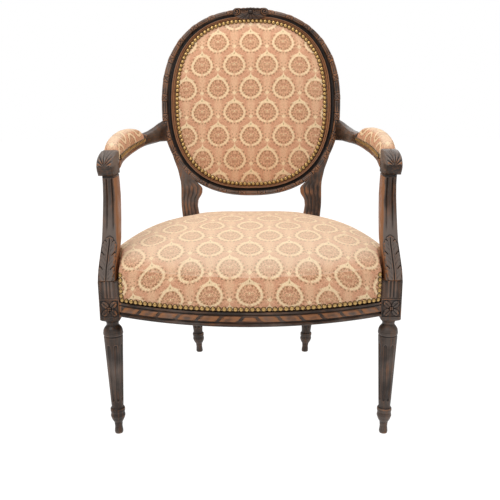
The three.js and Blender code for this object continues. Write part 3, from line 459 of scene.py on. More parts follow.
# Shader building
class Wire:
    """One output of a shader node, which takes part in sums, products and comparisons."""

    def __init__(self, paint, socket):
        self.paint = paint
        self.socket = socket

    def maths(self, operation, *others):
        return self.paint.maths(operation, self, *others)

    def __add__(self, other):
        return self.maths("ADD", other)

    def __radd__(self, other):
        return self.maths("ADD", other)

    def __sub__(self, other):
        return self.maths("SUBTRACT", other)

    def __rsub__(self, other):
        return self.paint.maths("SUBTRACT", other, self)

    def __mul__(self, other):
        return self.maths("MULTIPLY", other)

    def __rmul__(self, other):
        return self.maths("MULTIPLY", other)

    def __truediv__(self, other):
        return self.maths("DIVIDE", other)

    def __rtruediv__(self, other):
        return self.paint.maths("DIVIDE", other, self)

    def __pow__(self, other):
        return self.maths("POWER", other)

    def __gt__(self, other):
        return self.maths("GREATER_THAN", other)

    def __abs__(self):
        return self.maths("ABSOLUTE")

    def cosine(self):
        return self.maths("COSINE")

    def fraction(self):
        return self.maths("FRACT")

    def low_part(self):
        return self.maths("FLOOR")

    def most(self, *others):
        """The largest of this and the others."""
        largest = self
        for other in others:
            largest = largest.maths("MAXIMUM", other)
        return largest

    def hill(self, width):
        """One at zero, falling off on both sides over a width."""
        return (self / width * (self / width) * -1).maths("EXPONENT")

    def step(self, low, high):
        """Zero below low and one above high, with a soft edge between."""
        return self.paint.ramp(self, low, high)


class Paint:
    """A material with one Principled shader, and the means to add nodes to it."""

    def __init__(self, name, roughness=0.6, metallic=0.0, specular=0.5):
        self.material = bpy.data.materials.new(name)
        self.material.use_nodes = True
        self.tree = self.material.node_tree
        self.tree.nodes.clear()
        self.shader = self.node("ShaderNodeBsdfPrincipled", inputs={
            "Roughness": roughness, "Metallic": metallic, "Specular IOR Level": specular})
        output = self.node("ShaderNodeOutputMaterial")
        self.tree.links.new(self.shader.outputs[0], output.inputs[0])

    def node(self, kind, settings=None, inputs=None):
        node = self.tree.nodes.new(kind)
        for key, value in (settings or {}).items():
            setattr(node, key, value)
        for key, value in (inputs or {}).items():
            self.feed(node.inputs[key], value)
        return node

    def feed(self, socket, value):
        if isinstance(value, Wire):
            self.tree.links.new(value.socket, socket)
        elif socket.type == "RGBA":
            socket.default_value = (*value, 1)
        else:
            socket.default_value = value

    def wire(self, node, output=0):
        return Wire(self, node.outputs[output])

    def maths(self, operation, *values):
        return self.wire(self.node("ShaderNodeMath", {"operation": operation}, dict(enumerate(values))))

    def ramp(self, value, low, high, lowest=0.0, highest=1.0):
        return self.wire(self.node("ShaderNodeMapRange", {"interpolation_type": "SMOOTHSTEP"}, {
            "Value": value, "From Min": low, "From Max": high, "To Min": lowest, "To Max": highest}))

    def mix(self, factor, first, second):
        node = self.node("ShaderNodeMix", {"data_type": "RGBA"}, {"Factor": factor})
        self.feed(node.inputs[6], first)
        self.feed(node.inputs[7], second)
        return self.wire(node, 2)

    def vector(self, x, y, z=0.0):
        return self.wire(self.node("ShaderNodeCombineXYZ", inputs={"X": x, "Y": y, "Z": z}))

    def parts(self, vector):
        node = self.node("ShaderNodeSeparateXYZ", inputs={0: vector})
        return [self.wire(node, i) for i in range(3)]

    def place(self):
        return self.wire(self.node("ShaderNodeTexCoord"), "Object")

    def attribute(self, name, output):
        return self.wire(self.node("ShaderNodeAttribute", {"attribute_name": name}), output)

    def stretched(self, vector, scale):
        node = self.node("ShaderNodeMapping", inputs={"Vector": vector, "Scale": scale})
        return self.wire(node)

    def noise(self, vector, scale, detail=3.0, rough=0.55):
        node = self.node("ShaderNodeTexNoise", inputs={
            "Vector": vector, "Scale": scale, "Detail": detail, "Roughness": rough})
        return self.wire(node)

    def speckle(self, vector):
        node = self.node("ShaderNodeTexWhiteNoise", {"noise_dimensions": "3D"}, {"Vector": vector})
        return self.wire(node)

    def finish(self, colour, roughness=None, height=None, strength=0.3, depth=0.001, metallic=None):
        self.feed(self.shader.inputs["Base Color"], colour)
        if roughness is not None:
            self.feed(self.shader.inputs["Roughness"], roughness)
        if metallic is not None:
            self.feed(self.shader.inputs["Metallic"], metallic)
        if height is not None:
            values = {"Strength": strength, "Distance": depth, "Height": height}
            relief = self.node("ShaderNodeBump", inputs=values)
            self.tree.links.new(relief.outputs[0], self.shader.inputs["Normal"])
        return self.material


def make_stained_wood(name, grain):
    look = bpy.context.scene.fauteuil_wood
    paint = Paint(name, specular=0.34)
    place = paint.place()
    worn = paint.attribute("worn", "Fac")
    fibres = paint.noise(paint.stretched(place, grain), 1.0, 4.0, 0.6)
    patches = paint.noise(place, 34.0, 3.0)
    broad = paint.noise(place, 9.0, 2.0)
    # Painted highlight: points marked for it are made lighter and less brown
    dusty = paint.attribute("dusty", "Fac")
    # Painted highlight: the wood is mixed toward the lighter grey on ridges and on the faces marked for it,
    # in random patches
    highlight_share = paint.ramp(broad + patches * 0.5 + worn * 1.6 + dusty, 0.66, 1.16)
    base = paint.mix(highlight_share, look.dark, look.painted_highlight)
    brown = tuple(0.55 * a + 0.45 * b for a, b in zip(look.dark, look.worn))
    base = paint.mix(paint.ramp(fibres - dusty * 0.2, 0.44, 0.68, 0.0, 0.45), base, brown)
    # Darker in the hollows of the carving, where a point sits below its neighbours
    hollow = paint.ramp(worn * -1, 0.02, 0.11, 0.0, 0.85)
    base = paint.mix(hollow, base, look.hollow_dark)
    rubbed_through = paint.ramp(worn + (patches - 0.5) * 0.30 + (fibres - 0.5) * 0.12, 0.05, 0.20, 0.0, 0.85)
    base = paint.mix(rubbed_through, base, look.worn)
    roughness = paint.ramp(patches + hollow * 0.3, 0.3, 0.8, 0.36, 0.62)
    return paint.finish(base, roughness, fibres, 0.18, 0.0006)


def make_bare_wood(name):
    look = bpy.context.scene.fauteuil_wood
    paint = Paint(name, specular=0.3)
    place = paint.place()
    fibres = paint.noise(paint.stretched(place, (12, 140, 140)), 1.0, 4.0, 0.6)
    patches = paint.noise(place, 14.0, 3.0)
    dull = tuple(value * 0.45 for value in look.plain)
    base = paint.mix(paint.ramp(fibres + patches * 0.4, 0.5, 0.95), look.plain, dull)
    return paint.finish(base, 0.7 + patches * 0.15, fibres, 0.25, 0.0005)


def make_tapestry(name):
    look = bpy.context.scene.fauteuil_fabric
    width = look.repeat_width / MILLIMETRE
    height = look.repeat_height / MILLIMETRE
    paint = Paint(name, roughness=0.92, specular=0.15)
    across, along, _ = paint.parts(paint.attribute("weave", "Vector"))
    u = across * (1 / MILLIMETRE)
    v = along * (1 / MILLIMETRE)

    def cell(across, upward):
        """Place in the diamond cell round a point: sideways and upward from the middle of the cell."""
        first_u = (across / width + 0.5).fraction() - 0.5
        first_v = (upward / height + 0.5).fraction() - 0.5
        second_u = (across / width).fraction() - 0.5
        second_v = (upward / height).fraction() - 0.5
        second = (abs(first_u) + abs(first_v)) > 0.5
        x = (first_u + (second_u - first_u) * second) * width
        return abs(x), (first_v + (second_v - first_v) * second) * height

    def length(x, y):
        return (x * x + y * y).maths("SQRT")

    side, y = cell(u, v)
    flower_side, flower_y = cell(u, v - 53.5)
    uneven = paint.noise(paint.vector(side * 0.4, y * 0.4), 1.0, 2.0) - 0.5
    radius = length(side, y)
    angle = side.maths("ARCTAN2", y)
    ring = 26.2 + 3.0 * angle.cosine() - 1.7 * (angle - 0.85).hill(0.42) + 0.9 * (angle - 1.9).hill(0.5)
    off = radius - ring
    # Cream ring with scalloped edges, a gap at its foot and a hollow-sided tip
    cream = (2.7 + (angle * 22).cosine() * 1.0 + uneven * 6 - abs(off)).step(-0.8, 1.1)
    cream = cream * (3.06 - angle).step(0.0, 0.05)
    climb = ((46 - y) / 16).most(0.0)
    tip = (0.7 + 14 * climb ** 2.5 + uneven * 2 - side).step(-0.6, 0.9)
    tip = tip * (y - 25).step(0, 1.5) * (46 - y).step(0, 1.5)
    hook = (1.1 - abs(length(side - 19.5, y + 11.5) - 2.8)).step(-0.5, 0.6)
    tip_heart = (1 - length(side / 1.7, (y - 33.0) / 3.2)).step(0.0, 0.4)
    # Brown dots on both sides of the ring
    dots = (2.2 + uneven * 4 - abs(off + 5.6)).step(-0.7, 0.9) * ((angle + 0.1) * 17).cosine().step(-0.4, 0.2)
    outer_dots = (1.9 + uneven * 4 - abs(off - 5.4)).step(-0.7, 0.9)
    outer_dots = outer_dots * ((angle + 0.14) * 19).cosine().step(-0.4, 0.2)
    dots = dots.most(outer_dots * (angle - 0.6).step(-0.1, 0.1))
    far_dots = (1.3 - abs(off - 9.8)).step(-0.6, 0.7) * (angle * 30).cosine().step(0.0, 0.5)
    # Flowers between the rings, each with two arcs and two dots
    flower_radius = length(flower_side, flower_y)
    flower_angle = flower_y.maths("ARCTAN2", flower_side)
    petals = (4.6 + 0.9 * (flower_angle * 4).cosine() - flower_radius).step(-0.7, 0.8)
    arcs = (1.0 - abs(length(flower_side - 10, flower_y + 1.5) - 3.9)).step(-0.6, 0.6)
    arcs = arcs * (flower_y + 2).step(0, 1.5)
    arcs = arcs.most((1.8 - length(flower_side - 4.2, flower_y - 7)).step(-0.4, 0.7))
    arcs = arcs.most((1.6 - length(flower_side - 5.2, flower_y - 16)).step(-0.4, 0.7))
    # Rose between the rings, but not round the flowers and above them
    plain = (9.5 - flower_side).step(-4.5, 4.5) * (flower_y + 8).step(-3.5, 3.5) * 0.8
    band = (off - 5.2).step(-1.2, 1.0) * (1 - plain)
    inside = (off * -1).step(2.0, 3.8)
    # Small leaves and buds inside the ring, the same on both halves
    buds = paint.noise(paint.vector(side * 0.21, y * 0.18), 1.0, 2.0, 0.6)
    leaves = paint.noise(paint.vector(side * 0.24 + 40, y * 0.21 + 7), 1.0, 2.0, 0.6)
    seeds = paint.noise(paint.vector(side * 0.36 + 80, y * 0.31 + 3), 1.0, 2.0, 0.6)
    eyes = (3.0 - length(side - 3.6, (y - 13) * 0.8)).step(-0.8, 1.0)
    eyes = eyes.most((2.4 - length(side - 3.4, y + 5)).step(-0.6, 1.0))
    heart = (1 - (side / 2.2 + abs(y - 5) / 4.2)).step(0.0, 0.3)
    dark_rose = tuple(0.5 * a + 0.5 * b for a, b in zip(look.rose, look.brown))
    # Stitches and uneven yarn
    stitch = paint.speckle(paint.vector((u / 1.25).low_part(), (v / 1.7).low_part()))
    streak = paint.noise(paint.vector(u * 1.1, v * 0.14), 1.0, 3.0)
    worn = paint.noise(paint.vector(u * 0.018, v * 0.018), 1.0, 3.0)
    # Painted top light: cloth that faces up is made lighter
    faded = paint.attribute("faded", "Fac")
    layers = (
        (inside * 0.52, look.rose),
        (inside * leaves.step(0.52, 0.57) * 0.85, look.ground),
        (inside * seeds.step(0.54, 0.59) * 0.75, look.olive),
        (inside * buds.step(0.53, 0.58) * 0.85, dark_rose),
        (band * seeds.step(0.53, 0.60) * 0.55, dark_rose),
        (eyes * 0.75, dark_rose),
        (far_dots * band * 0.55, dark_rose),
        (cream.most(tip, petals, hook) * 0.92, look.cream),
        (heart * 0.8, look.cream),
        (dots.most(arcs) * 0.75, look.brown),
        (tip_heart * 0.8, look.olive),
        (stitch.step(0.62, 1.0) * 0.34, look.brown),
        (streak.step(0.50, 0.68) * 0.40, look.cream),
        ((1 - streak).step(0.54, 0.70) * 0.36, look.rose),
        (worn.step(0.45, 0.75) * 0.20, look.ground),
        (faded.step(0.45, 0.95) * 0.42, look.painted_top_light),
    )
    colour = paint.mix(band * 0.62, look.ground, look.rose)
    for share, shade in layers:
        colour = paint.mix(share, colour, shade)
    thread = (u * (2 * math.pi / 1.25)).cosine() * (v * (2 * math.pi / 1.7)).cosine()
    return paint.finish(colour, None, thread * 0.5 + stitch * 0.5, 0.35, 0.0005)


def make_brass(name):
    look = bpy.context.scene.fauteuil_nails
    paint = Paint(name, roughness=0.32, metallic=0.9)
    place = paint.place()
    patches = paint.noise(place, 260.0, 3.0)
    spots = paint.noise(place, 900.0, 2.0)
    tip = paint.attribute("tip", "Fac")
    # Painted highlight and painted shade: the top of each head is kept light and its foot darkened, with
    # random tarnish patches over both
    dull = (1 - tip + (patches - 0.5) * 0.9 + (spots - 0.5) * 0.3).step(0.08, 0.66)
    colour = paint.mix(dull, look.gold, look.tarnish_and_shade)
    roughness = paint.ramp(patches, 0.3, 0.8, 0.3, 0.55)
    return paint.finish(colour, roughness, spots, 0.1, 0.0003, 0.95 - dull * 0.5)


def make_steel(name):
    paint = Paint(name, metallic=0.9)
    place = paint.place()
    patches = paint.noise(place, 120.0, 4.0)
    colour = paint.mix(paint.ramp(patches, 0.5, 0.75), tone(120, 118, 116), tone(84, 62, 46))
    return paint.finish(colour, paint.ramp(patches, 0.3, 0.8, 0.3, 0.65), patches, 0.2, 0.0003)


def make_hemp(name, light, dark, pitch):
    """Plain weave read from the Object coordinates, for the webbing and the hessian."""
    paint = Paint(name, roughness=0.92, specular=0.15)
    x, y, _ = paint.parts(paint.place())
    turn = 2 * math.pi / pitch
    warp = (x * turn).cosine()
    weft = (y * turn).cosine()
    over = ((x * turn * 0.5).cosine() * (y * turn * 0.5).cosine()).step(-0.2, 0.2)
    height = warp * over + weft * (1 - over)
    patches = paint.noise(paint.place(), 30.0, 4.0)
    colour = paint.mix(paint.ramp(height * 0.5 + patches, 0.2, 1.3), dark, light)
    return paint.finish(colour, None, height, 0.5, 0.0006)


# Each finish: the slot it belongs to, what makes it, and the values for that
FINISHES = {
    "stained_wood_upright": ("wood", make_stained_wood, (190, 190, 14)),
    "stained_wood_across": ("wood", make_stained_wood, (14, 190, 190)),
    "stained_wood_deep": ("wood", make_stained_wood, (190, 14, 190)),
    "bare_wood": ("wood", make_bare_wood),
    "tapestry": ("fabric", make_tapestry),
    "antique_brass": ("brass", make_brass),
    "spring_steel": ("steel", make_steel),
    "jute_webbing": ("webbing", make_hemp, tone(196, 170, 122), tone(120, 98, 62), 0.0026),
    "hessian": ("hessian", make_hemp, tone(180, 152, 106), tone(92, 74, 46), 0.0018),
}
MADE = {}


def finish(name):
    """A material by its name, made when it is first asked for."""
    if name not in MADE:
        _, maker, *values = FINISHES[name]
        MADE[name] = maker(name, *values)
    return MADE[name]


# Legs
TURNING = [
    (0, 0.40), (0.012, 0.45), (0.03, 0.43), (0.06, 0.39), (0.1, 0.43), (0.127, 0.62),
    (0.16, 0.76), (0.19, 0.70),
    (0.197, 0.72), (0.206, 0.755), (0.228, 0.755), (0.236, 0.64), (0.25, 0.61), (0.275, 0.63), (0.3, 0.65),
    (0.8, 0.925), (0.82, 0.94), (0.868, 0.965), (0.875, 0.93), (0.881, 0.91), (0.886, 0.99), (0.891, 1.0),
    (0.907, 1.0), (0.912, 0.97), (0.918, 0.98), (0.932, 0.93), (0.944, 0.85), (0.956, 0.73), (0.965, 0.64),
    (0.974, 0.60), (1.0, 0.67),
]
FLUTES = 8
FLUTE_HALF = 0.30
FLUTED = (0.30, 0.81)
FLUTE_END = 6.0
ROSETTE_MIDDLE = 301.5
ROSETTE_TOP = 324.0


def square_and_circle():
    """The outline of a unit square and of a unit circle, point for point, from the front left corner."""
    share = np.arange(4 * LEG_ACROSS) / LEG_ACROSS
    side = np.floor(share).astype(int)
    run = 2 * (share - side) - 1
    one = np.ones_like(run)
    x = np.choose(side, [run, one, -run, -one])
    y = np.choose(side, [-one, run, one, -run])
    return rows_of(x, y), math.pi / 2 * share - 0.75 * math.pi


def rosette_relief(across, up):
    """Four broad leaves in a cross, with a button in the middle, on a sunk field."""
    radius = np.hypot(across, up)
    angle = np.arctan2(up, across)
    spoke = np.abs(np.sin(2 * angle))
    reach = 6 + 17 * spoke ** 1.1 - 1.2 * np.abs(np.cos(14 * angle))
    body = smooth(0, 2.6, reach - radius)
    vein = bump(radius * np.cos(2 * angle), 2.2) * smooth(4, 7, radius)
    button = 2.2 * np.sqrt(np.clip(1 - (radius / 4.2) ** 2, 0, 1))
    ring = -1.3 * bump(radius - 5.0, 0.9)
    sunk = -1.5 * smooth(0, 1.4, 20 - np.maximum(np.abs(across), np.abs(up)))
    return sunk + 3.0 * body * (0.45 + 0.55 * spoke) - 1.2 * vein * body + button + ring


def block_relief(across, z):
    """Outward cut or raise on the front of a front leg's block."""
    side = np.abs(across)
    relief = np.where(z < ROSETTE_TOP - 1, rosette_relief(across, z - ROSETTE_MIDDLE), 0)
    relief -= 1.3 * bump(z - ROSETTE_TOP, 1.1)
    stalks = smooth(ROSETTE_TOP, ROSETTE_TOP + 3, z) * (1 - smooth(BLOCK_TOP - 1, BLOCK_TOP, z))
    rope = smooth(2.6, 1.2, np.abs(side - 17.2)) * (0.6 + 0.6 * np.sin((z + side) * 2 * math.pi / 3.6))
    ribs = 1.5 * bump(side, 2.4) + 1.7 * bump(side - 7.2, 3.0) + rope
    return relief + stalks * (ribs - 1.2)


def leg_shell(x, y, toe_in, splay, top, depth, carved):
    """A turned and fluted leg that swells into a square block, on which the front legs are carved."""
    square, angle = square_and_circle()
    circle = rows_of(np.cos(angle), np.sin(angle))
    flute_place = ((angle - math.pi / FLUTES) * FLUTES / (2 * math.pi) + 0.5) % 1 - 0.5
    low, high = FLUTED
    rings = []
    stations = np.unique(spread((0, low, 70), (low, 0.78, 60), (0.78, 1.0, 66)))
    for share in stations:
        radius = LEG_RADIUS * rounded_column(TURNING, 1, share, 0.0045)
        inside = min(share - low, high - share) * TURNED_HEIGHT
        fullness = quarter_round(inside / FLUTE_END)
        half = max(FLUTE_HALF * fullness, 0.02)
        hollow = np.sqrt(np.clip(1 - (flute_place / half) ** 2, 0, 1)) * fullness * (half > 0.02)
        lean = 1 - share
        ring = circle * (radius - depth * hollow)[:, None] + [x - toe_in * lean, y + splay * lean]
        rings.append(lifted(ring, share * TURNED_HEIGHT))
    for share in np.linspace(0.1, 1, 10):
        squareness = smooth(0, 0.7, share)
        size = BLOCK_HALF * (SHOULDER_SHARE + (1 - SHOULDER_SHARE) * share ** 0.8)
        ring = circle * size * (1 - squareness) + square * size * squareness + [x, y]
        rings.append(lifted(ring, TURNED_HEIGHT + BLOCK_CHAMFER * share))
    shoulder = TURNED_HEIGHT + BLOCK_CHAMFER
    corner = 1 - 0.035 * bump(np.abs(np.abs(square[:, 0]) - np.abs(square[:, 1])), 0.07)
    for z in np.linspace(shoulder + 0.6, top, int(top - shoulder) + 1):
        ring = square * (BLOCK_HALF * corner)[:, None]
        if carved:
            relief = block_relief(ring[:, 0], z) * smooth(0, 1.6, BLOCK_HALF - np.abs(ring[:, 0]))
            ring[:, 1] -= np.where(square[:, 1] < -0.999, relief, 0)
        if z > top - 0.3:
            ring = ring * 0.996
        rings.append(lifted(ring + [x, y], z))
    values = np.zeros((len(rings), len(angle), 2))
    # Painted highlight: the turned part of the leg is made a little lighter
    values[:len(stations), :, 0] = 0.04
    return loft(rings, False, values)


class FAUTEUIL_OT_front_legs(bpy.types.Operator):
    """Turns and flutes the front legs and carves a rosette on each block"""
    bl_idname = "fauteuil.front_legs"
    bl_label = "Front legs"

    def execute(self, context):
        depth = context.scene.fauteuil_wood.flute_depth / MILLIMETRE
        shell = leg_shell(LEG_HALF, 0, 0, 0, BLOCK_TOP, depth, True)
        both_sides("front_leg", "carved", [shell], "stained_wood_upright")
        return {"FINISHED"}


# Back frame
UPRIGHT = [
    (-0.2, 0.6, 0.758), (-0.165, 0.6, 0.762), (-0.12, 0.583, 0.771), (-0.055, 0.607, 0.785),
    (-0.02, 0.6, 0.787), (0.012, 0.558, 0.787), (0.044, 0.553, 0.787), (0.076, 0.616, 0.792),
    (0.14, 0.72, 0.822), (0.2, 0.78, 0.868), (0.26, 0.85, 0.9),
]
RAKE_UP = np.array([0, math.sin(RAKE), math.cos(RAKE)])
RAKE_FORWARD = np.array([0, -math.cos(RAKE), math.sin(RAKE)])
BACK_ORIGIN = np.array([0, MEDALLION_SETBACK, MEDALLION_BOTTOM])


def back_point(x, up, forward):
    x, up, forward = (values[..., None] for values in np.broadcast_arrays(x, up, forward))
    return BACK_ORIGIN + x * [1, 0, 0] + up * RAKE_UP + forward * RAKE_FORWARD


def polar_radius(angle, half_width, half_height, exponent):
    across = np.abs(np.cos(angle)) / half_width
    upward = np.abs(np.sin(angle)) / half_height
    return (across ** exponent + upward ** exponent) ** (-1 / exponent)


def nail_ring(angle):
    return polar_radius(angle, NAIL_RING_HALF_WIDTH, NAIL_RING_HALF_HEIGHT, INNER_EXPONENT)


def outer_ring(angle):
    return polar_radius(angle, MEDALLION_WIDTH / 2, MEDALLION_HEIGHT / 2, OUTER_EXPONENT)


def ring_point(angle, radius, forward):
    return back_point(radius * np.cos(angle), MEDALLION_HEIGHT / 2 + radius * np.sin(angle), forward)


BINDING_PITCH = 55.0
CREST_SWELL = 2.4


def arc_lengths(angles):
    return run_lengths(ring_point(angles, outer_ring(angles), 0))


def ring_length_from_top(angle):
    """Length along the outer edge from the top of the medallion to an angle."""
    return arc_lengths(np.linspace(math.pi / 2, angle, 400))[-1]


def frame_profile():
    """Shares from the nail ring (0) to the outer edge (1), with depths: slope, rib, cove and outer roll."""
    slope = [(-1, -5), (-0.5, -5), (0.10, -5), (0.14, -4.6)]
    slope += [(0.16 + 0.09 * t, -4.4 + 3.2 * math.sin(t * math.pi / 2)) for t in np.linspace(0, 1, 5)]
    rib = [(0.265, -1.9)]
    rib += [(0.345 + 0.062 * t, -2.4 + 2.7 * math.sqrt(max(0, 1 - t * t))) for t in np.linspace(-1, 1, 9)]
    cove = [(0.43 + 0.17 * t, -4.2 - 2.2 * math.sin(t * math.pi)) for t in np.linspace(0, 1, 9)]
    roll = []
    for t in np.linspace(-1, 1, 25):
        lean = -1.0 - 3.5 * max(t, 0) ** 2
        roll.append((0.805 + 0.19 * t, -4.8 + 5.9 * max(0, 1 - abs(t) ** 2.3) ** 0.55 + lean * 0.35))
    side = [(1.0, -8), (1.0, -14), (1.0, -20), (1.0, -25.5), (0.985, -27.3), (0.955, -28)]
    back = [(0.7, -28), (0.3, -28), (-0.2, -28), (-0.7, -28), (-0.95, -28), (-1, -27.3), (-1, -20), (-1, -12)]
    return np.array(slope + rib + cove + roll + side + back)


def frame_arc(start, end, steps):
    profile = frame_profile()
    share = profile[:, 0]
    depth = profile[:, 1]
    rings = []
    values = []
    angles = np.linspace(start, end, steps + 1)
    lengths = arc_lengths(angles)
    base = ring_length_from_top(start) * (1 if start < math.pi / 2 else -1)
    for angle, length in zip(angles, lengths):
        inner = nail_ring(angle)
        outer = outer_ring(angle) + CREST_SWELL * max(0.0, math.sin(angle)) ** 5
        radius = np.where(share < 0, inner + share * INNER_LIP, inner + share * (outer - inner))
        # Crossed bindings round the outer roll
        place = base - length
        near = (abs(place) + BINDING_PITCH / 2) % BINDING_PITCH - BINDING_PITCH / 2
        t = (share - 0.805) / 0.19
        on_roll = (np.abs(t) <= 1.02) & (depth > -8)
        crossing = bump(near - 8 * t, 1.25) + bump(near + 8 * t, 1.25)
        edges = bump(abs(near) - 11, 1.1)
        raised = 0.8 * smooth(0, 1.5, 10 - abs(near))
        relief = np.where(on_roll, raised - 1.5 * np.clip(crossing, 0, 1) - 1.1 * edges, 0)
        leaf = 0.45 * np.cos(t * 9) * smooth(12, 15, abs(near))
        relief += np.where(on_roll, leaf, 0)
        rings.append(ring_point(angle, radius + np.where(t > 0.6, relief * 0.5, 0) * on_roll, depth + relief))
        more = np.where((share < 0.36) & (depth > -8), 0.19, np.where(on_roll, 0.06, -0.10))
        values.append(rows_of(0, more))
    return loft(rings, False, values)


def upright_shell():
    stations = np.linspace(-0.2, 0.26, 130)
    half = MEDALLION_WIDTH / 2
    rings = []
    across = np.linspace(0, 1, 45)
    for up in stations:
        inner = half * rounded_column(UPRIGHT, 1, up, 0.012)
        outer = half * rounded_column(UPRIGHT, 2, up, 0.012)
        x = inner + (outer - inner) * across
        edge = np.minimum(across, 1 - across) * (outer - inner)
        face = -1.5 - 2.2 * (1 - smooth(0, 3.0, edge))
        fade = smooth(-0.18, -0.15, up) * (1 - smooth(0.03, 0.09, up))
        grooves = sum(bump(across - place, 0.035) for place in (0.20, 0.42, 0.62, 0.82))
        ridge = 0.9 * np.cos((across - 0.5) * 2 * math.pi * 4.6)
        face = face + fade * (ridge * 0.4 - 1.1 * grooves)
        front = back_point(x, MEDALLION_HEIGHT * up, face)
        back_x = np.linspace(outer, inner, 12)
        back = back_point(back_x, MEDALLION_HEIGHT * up, 1.0 - FRAME_DEPTH)
        rings.append(np.vstack([front, back]))
    return rubbed(loft(rings), 0.055)


class FAUTEUIL_OT_rear_stiles(bpy.types.Operator):
    """Makes each rear leg, its block, the fluted upright and the side of the medallion"""
    bl_idname = "fauteuil.rear_stiles"
    bl_label = "Rear legs and stiles"

    def execute(self, context):
        depth = context.scene.fauteuil_wood.flute_depth / MILLIMETRE
        shells = [
            leg_shell(REAR_HALF, REAR_DEPTH, REAR_TOE_IN, REAR_SPLAY, REAR_BLOCK_TOP, depth, False),
            upright_shell(),
            frame_arc(-LOWER_START + 0.001, CREST_ANGLE - 0.001, 400),
        ]
        both_sides("rear_leg_stile", "carved", shells, "stained_wood_upright")
        return {"FINISHED"}


def tube_shell(path, radius, sides, joined=False):
    """A round bar along a path of points."""
    tangents = np.gradient(path, axis=0)
    if joined:
        tangents = np.roll(path, -1, 0) - np.roll(path, 1, 0)
    tangents /= np.linalg.norm(tangents, axis=1, keepdims=True)
    normal = np.cross(tangents[0], [0.3, 0.2, 0.93])
    rings = []
    for place, tangent in zip(path, tangents):
        normal = normal - tangent * np.dot(normal, tangent)
        normal /= np.linalg.norm(normal)
        other = np.cross(tangent, normal)
        turn = np.linspace(0, 2 * math.pi, sides, endpoint=False)
        rings.append(place + radius * (np.cos(turn)[:, None] * normal + np.sin(turn)[:, None] * other))
    return loft(rings, joined)


CREST_BASE = MEDALLION_HEIGHT - 15.4
CREST_HALF = 49.6


def crest_place(x, up, forward):
    return back_point(x, CREST_BASE + up, forward)


# Outline of the crest carving: distance from the middle, then its lower and upper edge
CREST_OUTLINE = [
    (0, -12.6, 20.6), (4, -12.8, 19.4), (9, -12.6, 20.2), (13, -12.8, 18.6), (19, -12.4, 19.6),
    (25, -12.0, 18.2), (30, -10.0, 19.0), (36, -7.0, 19.4), (41, -3.5, 18.8), (45, 2.5, 16.5),
    (48, 7.0, 13.5), (CREST_HALF, 9.5, 11.0),
]


def crest_relief(x, up):
    """A fan of leaves below, a row of curled tips above and a scroll at each end, round a bead."""
    side = np.abs(x)
    angle = np.arctan2(side, 7.5 - up)
    radius = np.hypot(side, up - 7.5)
    fan = 1.5 * np.abs(np.cos(angle * 5.5)) ** 0.7 + 0.35 * np.cos(angle * 33) - 1.0
    fan = fan * smooth(8.5, 5.5, up) * smooth(5, 9, radius)
    tips = 1.7 * np.abs(np.cos(side * math.pi / 9.2)) ** 0.8 * smooth(12.5, 15.5, up)
    hollow = -3.6 * bump(up - 10.5, 2.6) * smooth(5.5, 8, side) * smooth(30, 26, side)
    leaf = 1.4 * bump(up - 10.5 - 2.2 * np.sin(side * 0.42), 1.3) * smooth(6, 9, side) * smooth(30, 27, side)
    from_eye = np.hypot(side - 37.5, up - 8.5)
    turn = np.arctan2(up - 8.5, side - 37.5)
    spiral = np.cos((from_eye - turn * 0.9) * 2 * math.pi / 5.6)
    scroll = (1.3 * spiral + 1.0) * smooth(10.5, 8.5, from_eye) - 1.8 * bump(from_eye - 10.6, 1.0)
    bead = 3.4 * np.sqrt(np.clip(1 - (radius / 5.2) ** 2, 0, 1)) - 1.5 * bump(radius - 6.2, 1.0)
    outside_scroll = smooth(9.5, 11.5, from_eye)
    return (fan + tips + hollow + leaf) * outside_scroll + scroll + bead


def crest_carving():
    """One carved block over the middle of the crest rail."""
    rings = []
    rise = np.linspace(0, 1, 54)
    for x in np.linspace(-CREST_HALF, CREST_HALF, 210):
        low = rounded_column(CREST_OUTLINE, 1, abs(x), 0.8)
        high = rounded_column(CREST_OUTLINE, 2, abs(x), 0.8)
        up = low + (high - low) * rise
        edge = np.minimum(np.minimum(up - low, high - up), 1.1 * (CREST_HALF - abs(x)))
        round_off = 3.4 * (1 - quarter_round(edge / 3.2))
        relief = crest_relief(x, up) * smooth(0, 2.0, edge)
        front = crest_place(x, up, 3.4 + relief - round_off)
        back = crest_place(x, np.linspace(high, low, 8), -9.0)
        rings.append(np.vstack([front, back]))
    return rubbed(loft(rings), -0.02)


class FAUTEUIL_OT_back_frame(bpy.types.Operator):
    """Makes the carved crest and the lower rail of the medallion"""
    bl_idname = "fauteuil.back_frame"
    bl_label = "Crest and lower rail"

    def execute(self, context):
        crest = [frame_arc(CREST_ANGLE + 0.001, math.pi - CREST_ANGLE - 0.001, 330), crest_carving()]
        piece("crest_rail_carved", crest, "stained_wood_across", ["crest_rail"], 50)
        lower = frame_arc(-math.pi + LOWER_START + 0.001, -LOWER_START - 0.001, 240)
        piece("lower_back_rail_moulded", [lower], "stained_wood_across", ["lower_back_rail"], 50)
        return {"FINISHED"}


# Seat frame
def front_y(x, inset):
    return FACE_CENTRE - np.sqrt((FACE_RADIUS - inset) ** 2 - x ** 2)


def side_x(y, inset):
    share = (y - BLOCK_HALF) / (REAR_FRONT - BLOCK_HALF)
    return BLOCK_OUTER + (REAR_OUTER - BLOCK_OUTER) * share + 4 * SIDE_BOW * share * (1 - share) - inset


def half_round(low, high, reach, proud, steps):
    """A bead in a moulding's profile, from one height to another."""
    points = []
    for t in np.linspace(-1, 1, steps):
        points.append((reach + proud * math.sqrt(max(0, 1 - t * t)), (low + high) / 2 + (high - low) / 2 * t))
    return points


